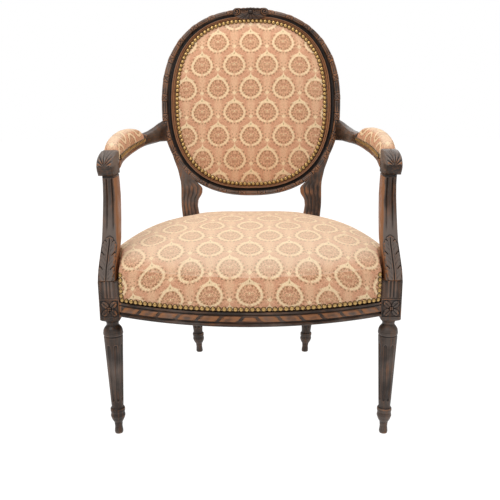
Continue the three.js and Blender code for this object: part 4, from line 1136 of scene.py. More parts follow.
def front_rail_profile():
    outline = half_round(RAIL_BOTTOM, RAIL_BOTTOM + 7.2, 0.4, 3.8, 11)
    outline += [(0.0, 292.6), (-0.6, 293.4), (-0.6, 294.4), (0.2, 295.0), (1.0, 295.4), (1.0, 300)]
    outline += [(1.0, 305), (1.0, 308.2), (0.2, 308.8), (-0.5, 309.4), (-0.5, 310.2), (0.2, 310.8)]
    outline += half_round(311, LEDGE_TOP, 0.6, 2.0, 9)
    outline += [(-UPPER_INSET, z) for z in (LEDGE_TOP, 330, RAIL_TOP)]
    outline += [(-FRONT_RAIL_THICKNESS, z) for z in (RAIL_TOP, 320, RAIL_BOTTOM)]
    outline.append((-14, RAIL_BOTTOM))
    return outline


def side_rail_profile():
    outline = [(-3, RAIL_BOTTOM), (-1.2, RAIL_BOTTOM + 0.5), (-0.3, RAIL_BOTTOM + 1.6), (0, RAIL_BOTTOM + 3)]
    outline += [(0, 291), (0, 297), (0, 303), (0, 309), (0, 313.4), (-0.4, 315), (-1.6, LEDGE_TOP)]
    outline += [(-UPPER_INSET, z) for z in (LEDGE_TOP, 330, RAIL_TOP)]
    outline += [(-SIDE_RAIL_THICKNESS, z) for z in (RAIL_TOP, 320, RAIL_BOTTOM)]
    return outline


class FAUTEUIL_OT_seat_rails(bpy.types.Operator):
    """Makes the four rails under the seat"""
    bl_idname = "fauteuil.seat_rails"
    bl_label = "Seat rails"

    def execute(self, context):
        half = BLOCK_INNER - FIT
        reach, z = np.array(front_rail_profile()).T
        rings = [rows_of(x, front_y(x, -reach), z) for x in np.linspace(-half, half, 181)]
        piece("front_seat_rail_moulded", [loft(rings)], "stained_wood_across", ["front_seat_rail"], 40)
        reach, z = np.array(side_rail_profile()).T
        stations = np.linspace(BLOCK_HALF + FIT, REAR_FRONT - FIT, 110)
        side = loft([rows_of(side_x(y, -reach), y, z) for y in stations])
        both_sides("side_seat_rail", "moulded", [side], "stained_wood_deep", 40)
        half = REAR_INNER - FIT
        rings = [rows_of(x, REAR_FACE + reach, z) for x in np.linspace(-half, half, 80)]
        piece("back_seat_rail_moulded", [loft(rings)], "stained_wood_across", ["back_seat_rail"], 40)
        return {"FINISHED"}


# Repeated parts: one shape on each of a set of points, turned to the attributes of the points
def placing_tree():
    """Sets one shape on every point, turned to the two directions that the point carries."""
    name = "fauteuil_placing"
    if name in bpy.data.node_groups:
        return bpy.data.node_groups[name]
    tree = bpy.data.node_groups.new(name, "GeometryNodeTree")
    entries = (("Points", "Geometry"), ("Shape", "Object"), ("Width", "Float"), ("Height", "Float"),
               ("Finish", "Material"))
    for label, kind in entries:
        tree.interface.new_socket(label, in_out="INPUT", socket_type="NodeSocket" + kind)
    tree.interface.new_socket("Pieces", in_out="OUTPUT", socket_type="NodeSocketGeometry")
    kinds = {
        "entry": "NodeGroupInput", "out": "GeometryNodeInputNamedAttribute",
        "along": "GeometryNodeInputNamedAttribute", "turn": "FunctionNodeAxesToRotation",
        "shape": "GeometryNodeObjectInfo", "size": "ShaderNodeCombineXYZ",
        "placed": "GeometryNodeInstanceOnPoints", "whole": "GeometryNodeRealizeInstances",
        "dressed": "GeometryNodeSetMaterial", "leave": "NodeGroupOutput",
    }
    nodes = {key: tree.nodes.new(kind) for key, kind in kinds.items()}
    for key in ("out", "along"):
        nodes[key].data_type = "FLOAT_VECTOR"
        nodes[key].inputs["Name"].default_value = key
    nodes["turn"].primary_axis = "Z"
    nodes["turn"].secondary_axis = "X"
    links = (
        ("out", "Attribute", "turn", 0), ("along", "Attribute", "turn", 1),
        ("entry", "Shape", "shape", "Object"), ("entry", "Width", "size", "X"),
        ("entry", "Width", "size", "Y"),
        ("entry", "Height", "size", "Z"), ("entry", "Points", "placed", "Points"),
        ("shape", "Geometry", "placed", "Instance"), ("turn", 0, "placed", "Rotation"),
        ("size", 0, "placed", "Scale"), ("placed", 0, "whole", 0), ("whole", 0, "dressed", "Geometry"),
        ("entry", "Finish", "dressed", "Material"), ("dressed", 0, "leave", 0),
    )
    for source, output, target, socket in links:
        tree.links.new(nodes[source].outputs[output], nodes[target].inputs[socket])
    return tree


def placed_mesh(name, shape, places, outs, alongs, width, height, material):
    """A plain mesh with the shape repeated on places given in millimetres."""
    mesh = bpy.data.meshes.new(name)
    points = (np.asarray(places) + [0, DEPTH_SHIFT, 0]) * MILLIMETRE
    mesh.from_pydata(points.tolist(), [], [])
    mark(mesh, "out", np.asarray(outs))
    mark(mesh, "along", np.asarray(alongs))
    carrier = add_object(name + "_points", mesh)
    tree = placing_tree()
    modifier = carrier.modifiers.new("placing", "NODES")
    modifier.node_group = tree
    values = {"Shape": shape, "Width": width, "Height": height, "Finish": material}
    for item in tree.interface.items_tree:
        if item.item_type == "SOCKET" and item.in_out == "INPUT" and item.name in values:
            modifier[item.identifier] = values[item.name]
    graph = bpy.context.evaluated_depsgraph_get()
    result = bpy.data.meshes.new_from_object(carrier.evaluated_get(graph))
    carrier.modifiers.remove(modifier)
    bpy.data.objects.remove(carrier)
    result.name = name
    if len(result.polygons) == 0:
        raise RuntimeError(name + ": nothing was placed")
    return result


def shape_object(name, points, faces):
    mesh = bpy.data.meshes.new(name)
    mesh.from_pydata(points, [], faces)
    mesh.polygons.foreach_set("use_smooth", np.ones(len(mesh.polygons), bool))
    return add_object(name, mesh)


def nail_head():
    sides = 10
    points = []
    levels = [(1.0, -0.15), (1.0, 0.12), (0.82, 0.62), (0.45, 0.92)]
    for radius, height in levels:
        for i in range(sides):
            turn = 2 * math.pi * i / sides
            points.append((radius * math.cos(turn), radius * math.sin(turn), height))
    points.append((0, 0, 1.0))
    faces = []
    for level in range(len(levels) - 1):
        low = level * sides
        high = low + sides
        for i in range(sides):
            k = (i + 1) % sides
            faces.append((low + i, low + k, high + k, high + i))
    last = (len(levels) - 1) * sides
    faces += [(last + i, last + (i + 1) % sides, len(points) - 1) for i in range(sides)]
    faces.append(tuple(range(sides))[::-1])
    item = shape_object("nail_head_shape", points, faces)
    # Height on the head, which the brass uses for a painted highlight on top and painted shade below
    mark(item.data, "tip", np.array(points)[:, 2])
    return item


def even_places(path, outs, pitch, joined, margin):
    """Points an equal distance apart on a path, with their outward and forward directions."""
    if joined:
        path = np.vstack([path, path[:1]])
        outs = np.vstack([outs, outs[:1]])
    lengths = run_lengths(path)
    total = lengths[-1] - 2 * margin
    count = max(2, round(total / pitch))
    stations = margin + np.linspace(0, total, count if joined else count + 1, endpoint=not joined)
    turned = read_along(outs, lengths, stations)
    turned /= np.linalg.norm(turned, axis=1, keepdims=True)
    along = read_along(path, lengths, stations + 1) - read_along(path, lengths, stations - 1)
    return read_along(path, lengths, stations), turned, along


def border_inset(z):
    share = (z - BORDER_BOTTOM) / BORDER_HEIGHT
    return np.interp(share, [0, 0.5, 1], [3, 0, 4])


def front_nail_path():
    half = BLOCK_INNER - FIT - NAIL_RADIUS - FIT
    z = np.linspace(BLOCK_TOP + 16, NAIL_Z + 6, 10)
    x = np.linspace(-half, half, 60)
    climb = rows_of(-half, front_y(half, border_inset(z)) - 0.2, z)
    middle = rows_of(x, front_y(x, border_inset(NAIL_Z)) - 0.2, NAIL_Z)
    points = np.vstack([climb, middle, climb[::-1] * [-1, 1, 1]])
    outs = points - [0, FACE_CENTRE, 0]
    outs[:, 2] = 0
    return points, outs


def side_nail_path(side):
    y = np.linspace(BLOCK_HALF + FIT + NAIL_RADIUS + 3, REAR_FRONT - FIT - NAIL_RADIUS - 3, 60)
    x = side_x(y, border_inset(NAIL_Z)) + 0.2
    return rows_of(side * x, y, NAIL_Z), rows_of(side, -np.gradient(x, y), 0)


def back_nail_path():
    half = REAR_INNER - FIT - NAIL_RADIUS - 3 - FIT
    x = np.linspace(-half, half, 3)
    return rows_of(x, REAR_FACE - border_inset(NAIL_Z) + 0.2, NAIL_Z), np.tile([0.0, 1.0, 0.0], (3, 1))


def ring_nail_path():
    angles = np.linspace(0, 2 * math.pi, 240, endpoint=False)
    points = ring_point(angles, nail_ring(angles), REBATE_FACE + COVER + 0.1)
    return points, np.tile(RAKE_FORWARD, (len(angles), 1))


class FAUTEUIL_OT_nails(bpy.types.Operator):
    """Sets the rows of brass nails round the seat, the back and the arm pads"""
    bl_idname = "fauteuil.nails"
    bl_label = "Nails"

    def execute(self, context):
        look = context.scene.fauteuil_nails
        head = nail_head()
        rows = [
            ("seat_nails_front", front_nail_path(), False),
            ("seat_nails_side_right", side_nail_path(1), False),
            ("seat_nails_side_left", side_nail_path(-1), False),
            ("seat_nails_back", back_nail_path(), False),
            ("back_nails", ring_nail_path(), True),
        ]
        for side, name in ((1, "right"), (-1, "left")):
            for facing, part in ((-1, "inner"), (1, "outer")):
                rows.append((f"arm_nails_{part}_{name}", pad_nail_path(side, side * facing), False))
        for name, (path, outs), joined in rows:
            margin = 0 if joined else 1.0
            places, turned, alongs = even_places(path, outs, look.pitch / MILLIMETRE, joined, margin)
            mesh = placed_mesh(name + "_heads", head, places, turned, alongs, look.radius, look.height,
                               finish("antique_brass"))
            declare(add_object(name + "_heads", mesh), [name])
        bpy.data.objects.remove(head)
        return {"FINISHED"}


def stick_shape(name, slant_left, slant_right):
    """A rounded stick of unit height, its ends slanted as the ribbon winds round it."""
    rings = []
    half = 1.44
    for t in np.linspace(-1, 1, 9):
        edge = 1 - 0.10 * abs(t) ** 6
        section = []
        for v in (-0.5, -0.47, -0.3, 0, 0.3, 0.47, 0.5):
            shift = (slant_left if t < 0 else slant_right) * v * abs(t)
            rise = (1 - abs(2 * v) ** 3) ** 0.5 * edge if abs(v) < 0.5 else 0.0
            if abs(t) > 0.99:
                rise *= 0.45
            section.append((t * half + shift, v * edge, rise))
        section += [(t * half, 0.4, -0.3), (t * half, -0.4, -0.3)]
        rings.append(section)
    points, quads, triangles, _ = loft(rings)
    return shape_object(name, points.tolist(), quads.tolist() + triangles.tolist())


STICK_SHIFT = 4.5
STICK_LEVEL = 301.8
STICK_PROUD = 0.0036


class FAUTEUIL_OT_rail_ribbon(bpy.types.Operator):
    """Lays the carved ribbon and stick ornament along the front rail"""
    bl_idname = "fauteuil.rail_ribbon"
    bl_label = "Rail ribbon"

    def execute(self, context):
        look = context.scene.fauteuil_ribbon
        pitch = look.pitch / MILLIMETRE
        radius = FACE_RADIUS + 1.0
        reach = BLOCK_INNER + 6 - 0.5 * look.length / MILLIMETRE
        shapes = {
            -1: stick_shape("stick_left_shape", 0.95, 0.95),
            0: stick_shape("stick_middle_shape", 0.75, -0.75),
            1: stick_shape("stick_right_shape", -0.95, -0.95),
        }
        meshes = []
        for side, shape in shapes.items():
            steps = [0] if side == 0 else [side * (i + 1) for i in range(look.count)]
            turns = [(step * pitch - np.sign(step) * STICK_SHIFT) / radius for step in steps]
            turns = [a for a in turns if abs(radius * math.sin(a)) < reach]
            places = [(radius * math.sin(a), FACE_CENTRE - radius * math.cos(a), STICK_LEVEL) for a in turns]
            outs = [(math.sin(a), -math.cos(a), 0) for a in turns]
            alongs = [(math.cos(a), math.sin(a), 0) for a in turns]
            stick_height = look.height * (0.72 if side == 0 else 1)
            meshes.append(placed_mesh("ribbon_stick", shape, places, outs, alongs, stick_height, STICK_PROUD,
                                      finish("stained_wood_across")))
        for shape in shapes.values():
            bpy.data.objects.remove(shape)
        points, quads, triangles = [], [], []
        start = 0
        for mesh in meshes:
            coordinates = np.empty(3 * len(mesh.vertices))
            mesh.vertices.foreach_get("co", coordinates)
            coordinates = coordinates.reshape(-1, 3) / MILLIMETRE - [0, DEPTH_SHIFT, 0]
            points.append(coordinates)
            for polygon in mesh.polygons:
                row = [start + k for k in polygon.vertices]
                (quads if len(row) == 4 else triangles).append(row)
            start += len(mesh.vertices)
            bpy.data.meshes.remove(mesh)
        points = np.vstack(points)
        shell = rubbed((points, np.array(quads), np.array(triangles), np.zeros((len(points), 2))), 0.02)
        piece("front_rail_ribbon", [shell], "stained_wood_across", (), 45)
        return {"FINISHED"}


# Arms
ARM = [
    (0.06, 0, 0.05, -0.40, 0.94), (0.16, -0.06, 0.38, -0.33, 1), (0.3, -0.12, 0.52, -0.25, 1.04),
    (0.42, -0.06, 0.70, -0.17, 1.04), (0.54, 0.1, 0.92, -0.08, 1), (0.615, 0.24, 1.04, 0, 0.96),
    (0.632, 0.28, 1.06, 0.42, 0.95), (0.7, 0.4, 1.08, 0.41, 0.86), (0.8, 0.56, 1.07, 0.49, 0.76),
    (0.9, 0.76, 1.10, 0.68, 0.70), (0.95, 0.92, 1.07, 0.84, 0.70), (0.985, 1.02, 1.04, 0.92, 0.68),
    (1.008, 1.12, 1.02, 0.99, 0.66),
]
KNUCKLE = [
    (0.16, 0), (0.45, 0), (0.75, 0), (1, 0), (1, 0.3), (1, 0.6), (1, 0.88), (0.9, 0.905),
    (0.78, 0.90), (0.66, 0.88), (0.54, 0.85), (0.42, 0.81), (0.3, 0.755), (0.2, 0.69), (0.115, 0.61),
    (0.05, 0.52), (0.015, 0.43), (0, 0.34), (0.012, 0.24), (0.04, 0.15), (0.09, 0.06),
]


def arm_x(share):
    return ARM_CENTRE - ARM_INSET * column(ARM, 1, share)


def arm_shell():
    rings = []
    values = []
    for share in spread((0.06, 0.61, 60), (0.615, 0.64, 12), (0.645, 1, 64)):
        x = ARM_CENTRE - ARM_INSET * rounded_column(ARM, 1, share, 0.03)
        y = ARM_FRONT + ARM_SPAN * share
        under = ARM_UNDER + ARM_RISE * rounded_column(ARM, 2, share, 0.03)
        rise = rounded_column(ARM, 3, share, 0.02) if share > 0.68 else column(ARM, 3, share)
        top = ARM_TOP + ARM_TOP_RISE * rise
        half = ARM_WIDTH / 2 * rounded_column(ARM, 4, share, 0.03)
        soft = half * 0.34
        drop = 1.0 + 9.0 * smooth(0.60, 0.68, share)
        corners = [
            (-half + soft, under), (half - soft, under), (half, under + soft), (half, top - drop - 3),
            (half - 0.2, top - drop), (half * 0.8, top - drop * 0.42), (half * 0.45, top - drop * 0.08),
            (-half * 0.45, top - drop * 0.08), (-half * 0.8, top - drop * 0.42), (-half + 0.2, top - drop),
            (-half, top - drop - 3), (-half, under + soft),
        ]
        outline = soften_corners(corners, 3.0, 3, 3)
        rings.append(rows_of(x + outline[:, 0], y, outline[:, 1]))
        values.append(rows_of(np.zeros(len(outline)), 0.12 * (1 - smooth(0.56, 0.63, share))))
    return loft(rings, False, values)


def resampled(outline, count):
    closed = np.vstack([outline, outline[:1]])
    lengths = run_lengths(closed)
    return read_along(closed, lengths, np.linspace(0, lengths[-1], count, endpoint=False))


def knuckle_relief(across, depth, height):
    """A leaf whose ribs fan from the nose over the sloping top, above a plain rounded underside."""
    side = np.abs(across)
    from_nose = np.hypot(depth, np.clip(height - 20, 0, 60))
    fan = np.arctan2(side, from_nose * 0.62 + 1.0)
    leaf = smooth(19, 23, height) * (1 - smooth(46, 58, depth))
    relief = leaf * (1.25 * np.cos(fan * 15) + 0.5) - 1.3 * leaf * bump(side, 0.8)
    curl = knuckle_curl(side, depth, height)
    notch = bump(np.hypot(side - 13.4, height - 18.0), 1.5) * (1 - smooth(12, 24, depth))
    return relief + 0.9 * curl - 0.8 * notch


def knuckle_curl(side, depth, height):
    """Where the lower tips of the leaf turn outward."""
    return bump(np.hypot((side - 13.0) * 1.2, height - 22.5), 3.0) * (1 - smooth(12, 24, depth))


def knuckle_shell():
    outline = resampled(KNUCKLE, 150)
    middle = np.array([0.55, 0.5])
    rings = []
    values = []
    for across in np.linspace(-0.5, 0.5, 56):
        edge = smooth(0.0, 0.12, 0.5 - abs(across))
        scale = 0.80 + 0.20 * quarter_round((0.5 - abs(across)) / 0.16)
        shape = middle + (outline - middle) * scale
        shape[:, 1] = np.where(outline[:, 1] < 0.02, 0, shape[:, 1])
        depth = shape[:, 0] * KNUCKLE_DEPTH
        height = shape[:, 1] * KNUCKLE_HEIGHT
        normal = rows_of(np.gradient(height), -np.gradient(depth))
        normal /= np.maximum(np.linalg.norm(normal, axis=1, keepdims=True), 1e-9)
        outward = shape - middle
        normal *= np.sign((normal * outward).sum(1))[:, None]
        relief = knuckle_relief(across * KNUCKLE_WIDTH, depth, height) * edge
        curl = knuckle_curl(abs(across) * KNUCKLE_WIDTH, depth, height)
        # Painted highlight: the upper, sloping top of the knuckle is made lighter
        values.append(rows_of(0.5 * smooth(18, 24, height), 0.12 * curl - 0.03))
        depth = depth + normal[:, 0] * relief
        height = height + normal[:, 1] * relief
        rings.append(rows_of(ARM_CENTRE + KNUCKLE_WIDTH * across, depth - KNUCKLE_FRONT, ARM_UNDER + height))
    return loft(rings, False, values)


class FAUTEUIL_OT_arms(bpy.types.Operator):
    """Carves the arms with their knuckles"""
    bl_idname = "fauteuil.arms"
    bl_label = "Arms"

    def execute(self, context):
        both_sides("armrest", "carved", [arm_shell(), knuckle_shell()], "stained_wood_deep")
        return {"FINISHED"}


# Arm supports
SUPPORT = [
    (0, 1, 1, 0), (0.1, 0.97, 1, 0.1), (0.22, 0.96, 0.98, 0.36), (0.38, 0.916, 0.97, 0.7),
    (0.47, 0.89, 0.98, 0.8), (0.56, 0.865, 1, 0.886), (0.68, 0.825, 1.02, 0.98), (0.8, 0.787, 1.04, 1.06),
    (0.92, 0.74, 1.04, 1.07), (1, 0.73, 1.02, 1.04),
]
SUPPORT_CORNER = 3.2
LEAF_HALF = [
    (0, 0.80), (0.1, 0.94), (0.25, 1.0), (0.5, 1.0), (0.7, 0.98), (0.84, 0.88), (0.94, 0.6), (1, 0.1),
]
LOBE_PITCH = 31.0
TOOTH_PITCH = LOBE_PITCH / 3


def acanthus_relief(across, rise, half_width, relief):
    """A broad leaf: lobes that sweep up and outward from a dark vein, toothed at their outer edge."""
    share = rise / LEAF_HEIGHT
    side = np.abs(across)
    sweep = 27 * (side / 18) ** 0.65
    phase = (rise - sweep + 20) / LOBE_PITCH
    lobe = phase - np.floor(phase)
    tooth_phase = (rise - 0.9 * side) / TOOTH_PITCH
    tooth = tooth_phase - np.floor(tooth_phase)
    limit = (half_width - 0.4) * column(LEAF_HALF, 1, np.clip(share, 0, 1))
    limit = limit * (1 - 0.26 * (1 - np.sin(math.pi * lobe) ** 0.5))
    limit = limit - 2.4 * (1 - np.sin(math.pi * tooth) ** 0.7)
    body = smooth(-0.4, 1.2, limit - side) * smooth(0, 2, rise) * (1 - smooth(0.985, 1.0, share))
    outer = smooth(0.25, 0.8, side / np.maximum(limit, 1))
    swell = 0.55 + 0.45 * np.sin(math.pi * lobe) ** 0.7 * (0.5 + 0.5 * outer)
    notch = bump(np.minimum(lobe, 1 - lobe) * LOBE_PITCH, 1.6) * smooth(0.5, 0.9, outer)
    veins = 0.22 * np.cos(phase * 6 * math.pi) * smooth(2.5, 6, side)
    height = relief * body * (swell - 0.75 * notch) + veins * body
    stem = 1.0 * bump(side - 2.6, 1.2) * body
    vein = -2.0 * bump(side, 1.0) * smooth(0, 3, rise) * (1 - smooth(0.9, 1, share))
    ground = -2.4 * (1 - body) * smooth(0, 1.6, half_width - side) * (1 - smooth(0.66, 0.96, share))
    return height + stem + vein + ground


def support_shell(relief):
    rings = []
    values = []
    across = np.linspace(-0.5, 0.5, 61)
    back_across = np.linspace(0.5, -0.5, 16)
    y = (SUPPORT_DEPTH - 2 * BLOCK_HALF) / 2 + FIT
    for share in np.linspace(0, 1, 230):
        z = SUPPORT_BOTTOM + SUPPORT_HEIGHT * share
        width = SUPPORT_WIDTH * rounded_column(SUPPORT, 1, share, 0.03)
        depth = SUPPORT_DEPTH * rounded_column(SUPPORT, 2, share, 0.03)
        x = LEG_HALF + SUPPORT_OUTSET - SUPPORT_SHIFT * rounded_column(SUPPORT, 3, share, 0.03)
        groove = smooth(0.44, 0.56, share) * (1 - smooth(0.965, 0.99, share))
        place = across * width
        back_place = back_across * width
        edge = width / 2 - np.abs(place)
        inside = smooth(0, 1.4, edge)
        front = SUPPORT_CORNER * (1 - quarter_round(edge / SUPPORT_CORNER)) - depth / 2
        front -= acanthus_relief(place, z - SUPPORT_BOTTOM, width / 2, relief) * inside
        hollow = bump(np.abs(across) - 0.20, 0.05)
        rib = np.cos(np.clip(across / 0.14, -1, 1) * math.pi / 2)
        ridge = 0.5 * bump(np.abs(across) - 0.36, 0.06)
        front -= groove * (rib + ridge - 2.4 * hollow) * inside
        back_edge = width / 2 - np.abs(back_place)
        back = depth / 2 - SUPPORT_CORNER * (1 - quarter_round(back_edge / SUPPORT_CORNER))
        places = np.concatenate([place, back_place])
        rings.append(rows_of(places + x, np.concatenate([front, back]) + y, z))
        more = 0.16 * smooth(0.75, 1.0, 0.5 - places / width) + 0.03 * smooth(0.45, 0.6, share)
        more = more - 0.2 * (share > 0.985) - 0.02 * (share < 0.45)
        # Painted highlight: the leaf at the foot of the support is made lighter, fading out above it
        values.append(rows_of(0.52 - 0.52 * smooth(0.45, 0.8, share), more))
    return loft(rings, False, values)


class FAUTEUIL_OT_arm_supports(bpy.types.Operator):
    """Carves the uprights that carry the arms, with a leaf at the foot of each"""
    bl_idname = "fauteuil.arm_supports"
    bl_label = "Arm supports"

    def execute(self, context):
        shell = support_shell(context.scene.fauteuil_wood.leaf_relief / MILLIMETRE)
        both_sides("arm_support", "carved", [shell], "stained_wood_upright", 55)
        return {"FINISHED"}


# Padding
CLOTH = {
    "quality": 6, "mass": 0.3, "tension_stiffness": 12, "compression_stiffness": 12, "shear_stiffness": 6,
    "bending_stiffness": 0.6, "use_pressure": True, "vertex_group_mass": "held",
}
SWELL_FRAMES = 20


def swell(item, held, cap, pressure=4.0):
    """Lets the cloth swell under pressure, with some points held, and keeps the result within a cap."""
    mesh = item.data
    count = len(mesh.vertices)
    before = np.empty(3 * count)
    mesh.vertices.foreach_get("co", before)
    group = item.vertex_groups.new(name="held")
    group.add([int(k) for k in np.nonzero(held)[0]], 1.0, "REPLACE")
    modifier = item.modifiers.new("swell", "CLOTH")
    cloth = modifier.settings
    for key, value in CLOTH.items():
        setattr(cloth, key, value)
    cloth.uniform_pressure_force = pressure
    cloth.effector_weights.gravity = 0
    modifier.point_cache.frame_start = 1
    modifier.point_cache.frame_end = SWELL_FRAMES
    scene = bpy.context.scene
    for number in range(1, SWELL_FRAMES + 1):
        scene.frame_set(number)
    graph = bpy.context.evaluated_depsgraph_get()
    swollen = item.evaluated_get(graph).to_mesh()
    after = np.empty(3 * count)
    swollen.vertices.foreach_get("co", after)
    item.evaluated_get(graph).to_mesh_clear()
    item.modifiers.remove(modifier)
    item.vertex_groups.remove(group)
    scene.frame_set(1)
    before = before.reshape(-1, 3)
    move = after.reshape(-1, 3) - before
    length = np.maximum(np.linalg.norm(move, axis=1, keepdims=True), 1e-9)
    move *= np.minimum(1, cap / length)
    mesh.vertices.foreach_set("co", (before + move).ravel())
    mesh.update()


def refine(item):
    """One applied subdivision."""
    modifier = item.modifiers.new("refine", "SUBSURF")
    modifier.levels = 1
    modifier.render_levels = 1
    graph = bpy.context.evaluated_depsgraph_get()
    mesh = bpy.data.meshes.new_from_object(item.evaluated_get(graph))
    item.modifiers.remove(modifier)
    old = item.data
    item.data = mesh
    mesh.name = old.name
    bpy.data.meshes.remove(old)


def seat_outline(inset, notch):
    """The seat's plan with its notches round the leg blocks, as a closed row of points."""
    front_end = BLOCK_INNER - FIT - notch
    start = BLOCK_HALF + FIT + notch
    end = REAR_FRONT - FIT - notch
    rear_x = REAR_INNER - FIT - notch
    rear = REAR_FACE - inset
    x = np.linspace(0, front_end, 34)
    y = np.linspace(start, end, 40)[1:]
    return with_mirror(np.vstack([
        rows_of(x, front_y(x, inset)),
        rows_of(front_end, np.linspace(front_y(front_end, inset), start, 10)[1:]),
        rows_of(np.linspace(front_end, side_x(start, inset), 7)[1:], start),
        rows_of(side_x(y, inset), y),
        rows_of(np.linspace(side_x(end, inset), rear_x, 7)[1:], end),
        rows_of(rear_x, np.linspace(end, rear, 7)[1:]),
        rows_of(np.linspace(rear_x, 0, 20)[1:], rear),
    ]))


def plain_outline_radius(angles):
    """Distance from the seat's middle to its edge as if it had no notches, softened at its corners."""
    x = np.linspace(0, BLOCK_OUTER, 60)
    y = np.linspace(front_y(BLOCK_OUTER, 0), BLOCK_HALF, 8)[1:]
    rest = np.linspace(BLOCK_HALF, REAR_FRONT, 80)[1:]
    half = np.vstack([
        rows_of(x, front_y(x, 0)),
        rows_of(BLOCK_OUTER, y),
        rows_of(side_x(rest, 0), rest),
        rows_of([REAR_OUTER, REAR_OUTER * 0.5, 0], REAR_FACE),
    ])
    whole = with_mirror(half - [0, SEAT_MIDDLE])
    turn = np.arctan2(whole[:, 0], -whole[:, 1])
    order = np.argsort(turn)
    turn = turn[order]
    radius = np.hypot(whole[:, 0], whole[:, 1])[order]
    samples = np.linspace(-math.pi, math.pi, 721)
    plain = np.interp(samples, turn, radius, period=2 * math.pi)
    kernel = bump(np.arange(-40, 41) * 0.5, 7.5)
    kernel /= kernel.sum()
    padded = np.concatenate([plain[-41:-1], plain, plain[1:41]])
    soft = np.convolve(padded, kernel, "valid")
    return np.interp(angles, samples, plain), np.interp(angles, samples, soft)


def crown_share(share, sideways, rearward):
    """Height of the crown at a share of the way out, in directions given across and toward the rear."""
    front, side, rear = CROWN_EVENNESS
    turn = sideways ** 2 / (sideways ** 2 + rearward ** 2)
    even = side * turn + np.where(rearward > 0, rear, front) * (1 - turn)
    soft = even * (1 - share ** 2) + (1 - even) * (1 - share ** 11)
    return CROWN_FIRM_EDGE * (1 - share ** 24) + (1 - CROWN_FIRM_EDGE) * soft


# How far the pattern is drawn together on the seat, sideways and lengthwise, and where a ring lies on its
# middle line
SEAT_WEAVE = (0.94, 0.893)
PATTERN_SHIFT = 26.4
BRINK_SHARE = 0.982
BRINK_BASE = 377.0


def seat_shell():
    """Cover and stuffing: a flat underside, a hanging border outside the rails, and the crowned top."""
    edge = seat_outline(0, 0)
    from_middle = edge - [0, SEAT_MIDDLE]
    angles = np.arctan2(from_middle[:, 0], -from_middle[:, 1])
    plain, soft = plain_outline_radius(angles)
    direction = from_middle / np.linalg.norm(from_middle, axis=1, keepdims=True)
    base = RAIL_TOP + 2.2
    rings = []

    def add(outline, z):
        rings.append(lifted(outline, z))

    middle = np.array([0, SEAT_MIDDLE])
    inner = seat_outline(COVER + 3.2, COVER + 1.2)
    for share in (0.06, 0.3, 0.6, 0.9):
        add(middle + (inner - middle) * share, base)
    add(inner, base)
    for z in (346, 334, 325, 319):
        add(seat_outline(border_inset(z) + 2.0, border_inset(z) * 0.3 + 2.0), z)
    skirt = len(rings)
    for z in (BORDER_BOTTOM + 0.2, 320, 326, 333, 341, 349, 356, 363, 369.5, 375):
        bulge = 1.3 * math.sin(math.pi * min(max((z - 322) / 56, 0), 1))
        add(seat_outline(border_inset(z) - bulge, 0.6), z)
    top_edge = seat_outline(1.0, 0.6)
    notch_radius = np.linalg.norm(top_edge - middle, axis=1)

    def crown_ring(share):
        """Plan radius and height of the top at a share of the way out."""
        inward = smooth(0, 0.5, 1 - share)
        target = share * (plain * (1 - inward) + soft * inward)
        limit = notch_radius - 2.0 - 12 * (1 - share)
        radius = np.minimum(target, np.maximum(limit, target * 0.90))
        return radius, BORDER_TOP + CROWN_HEIGHT * crown_share(share, direction[:, 0], direction[:, 1])

    brink, brink_height = crown_ring(BRINK_SHARE)
    for turn in np.linspace(0.14, 0.9, 5):
        lean = 1 - math.cos(turn * math.pi / 2)
        radius = (notch_radius - 0.4) * (1 - lean) + brink * lean
        height = BRINK_BASE + (brink_height - BRINK_BASE) * math.sin(turn * math.pi / 2)
        add(middle + direction * radius[:, None], height)
    rounding_end = len(rings)
    shares = np.concatenate([[BRINK_SHARE, 0.972, 0.958, 0.94, 0.918], np.linspace(0.89, 0, 30)])
    for share in shares:
        radius, height = crown_ring(max(share, 0.012))
        add(middle + direction * radius[:, None], height)
    rings = np.array(rings)
    # Cloth coordinates: measured over the top from the middle, then straight down the border
    count = len(rings)
    steps = np.linalg.norm(np.diff(rings, axis=0), axis=2)
    values = np.zeros((count, len(edge), 2))
    travelled = np.zeros(len(edge))
    for k in range(count - 1, rounding_end - 1, -1):
        if k < count - 1:
            travelled = travelled + steps[k]
        values[k] = middle + direction * travelled[:, None]
    outward = np.tile([0.0, -1.0], (len(edge), 1))
    outward[edge[:, 1] > BLOCK_HALF + 1] = [1.0, 0.18]
    outward[edge[:, 0] < 0, 0] *= -1
    outward[edge[:, 1] > REAR_FRONT - 2] = [0.0, 1.0]
    outward /= np.linalg.norm(outward, axis=1, keepdims=True)
    for k in range(rounding_end - 1, -1, -1):
        values[k] = values[k + 1] + outward * steps[k][:, None]
    values = (values - [0, SEAT_MIDDLE + PATTERN_SHIFT]) / SEAT_WEAVE
    held = np.zeros(count, bool)
    held[:skirt + 5] = True
    return loft(rings, False, values), np.append(np.repeat(held, len(edge)), [True, False])


class FAUTEUIL_OT_seat_cushion(bpy.types.Operator):
    """Makes the sprung seat with its hanging border, and lets it swell"""
    bl_idname = "fauteuil.seat_cushion"
    bl_label = "Seat cushion"

    def execute(self, context):
        shell, held = seat_shell()
        item = piece("seat_cushion", [shell], "tapestry", ["seat_cover", "seat_stuffing"])
        near_post = np.zeros(len(held), bool)
        points = shell[0]
        for x, y in ((LEG_HALF, 0), (REAR_HALF, REAR_DEPTH)):
            near_post |= (np.abs(np.abs(points[:, 0]) - x) < 27) & (np.abs(points[:, 1] - y) < 27)
        swell(item, held | near_post, context.scene.fauteuil_fabric.crown_cap)
        refine(item)
        return {"FINISHED"}


BACK_PATTERN_START = 30.0


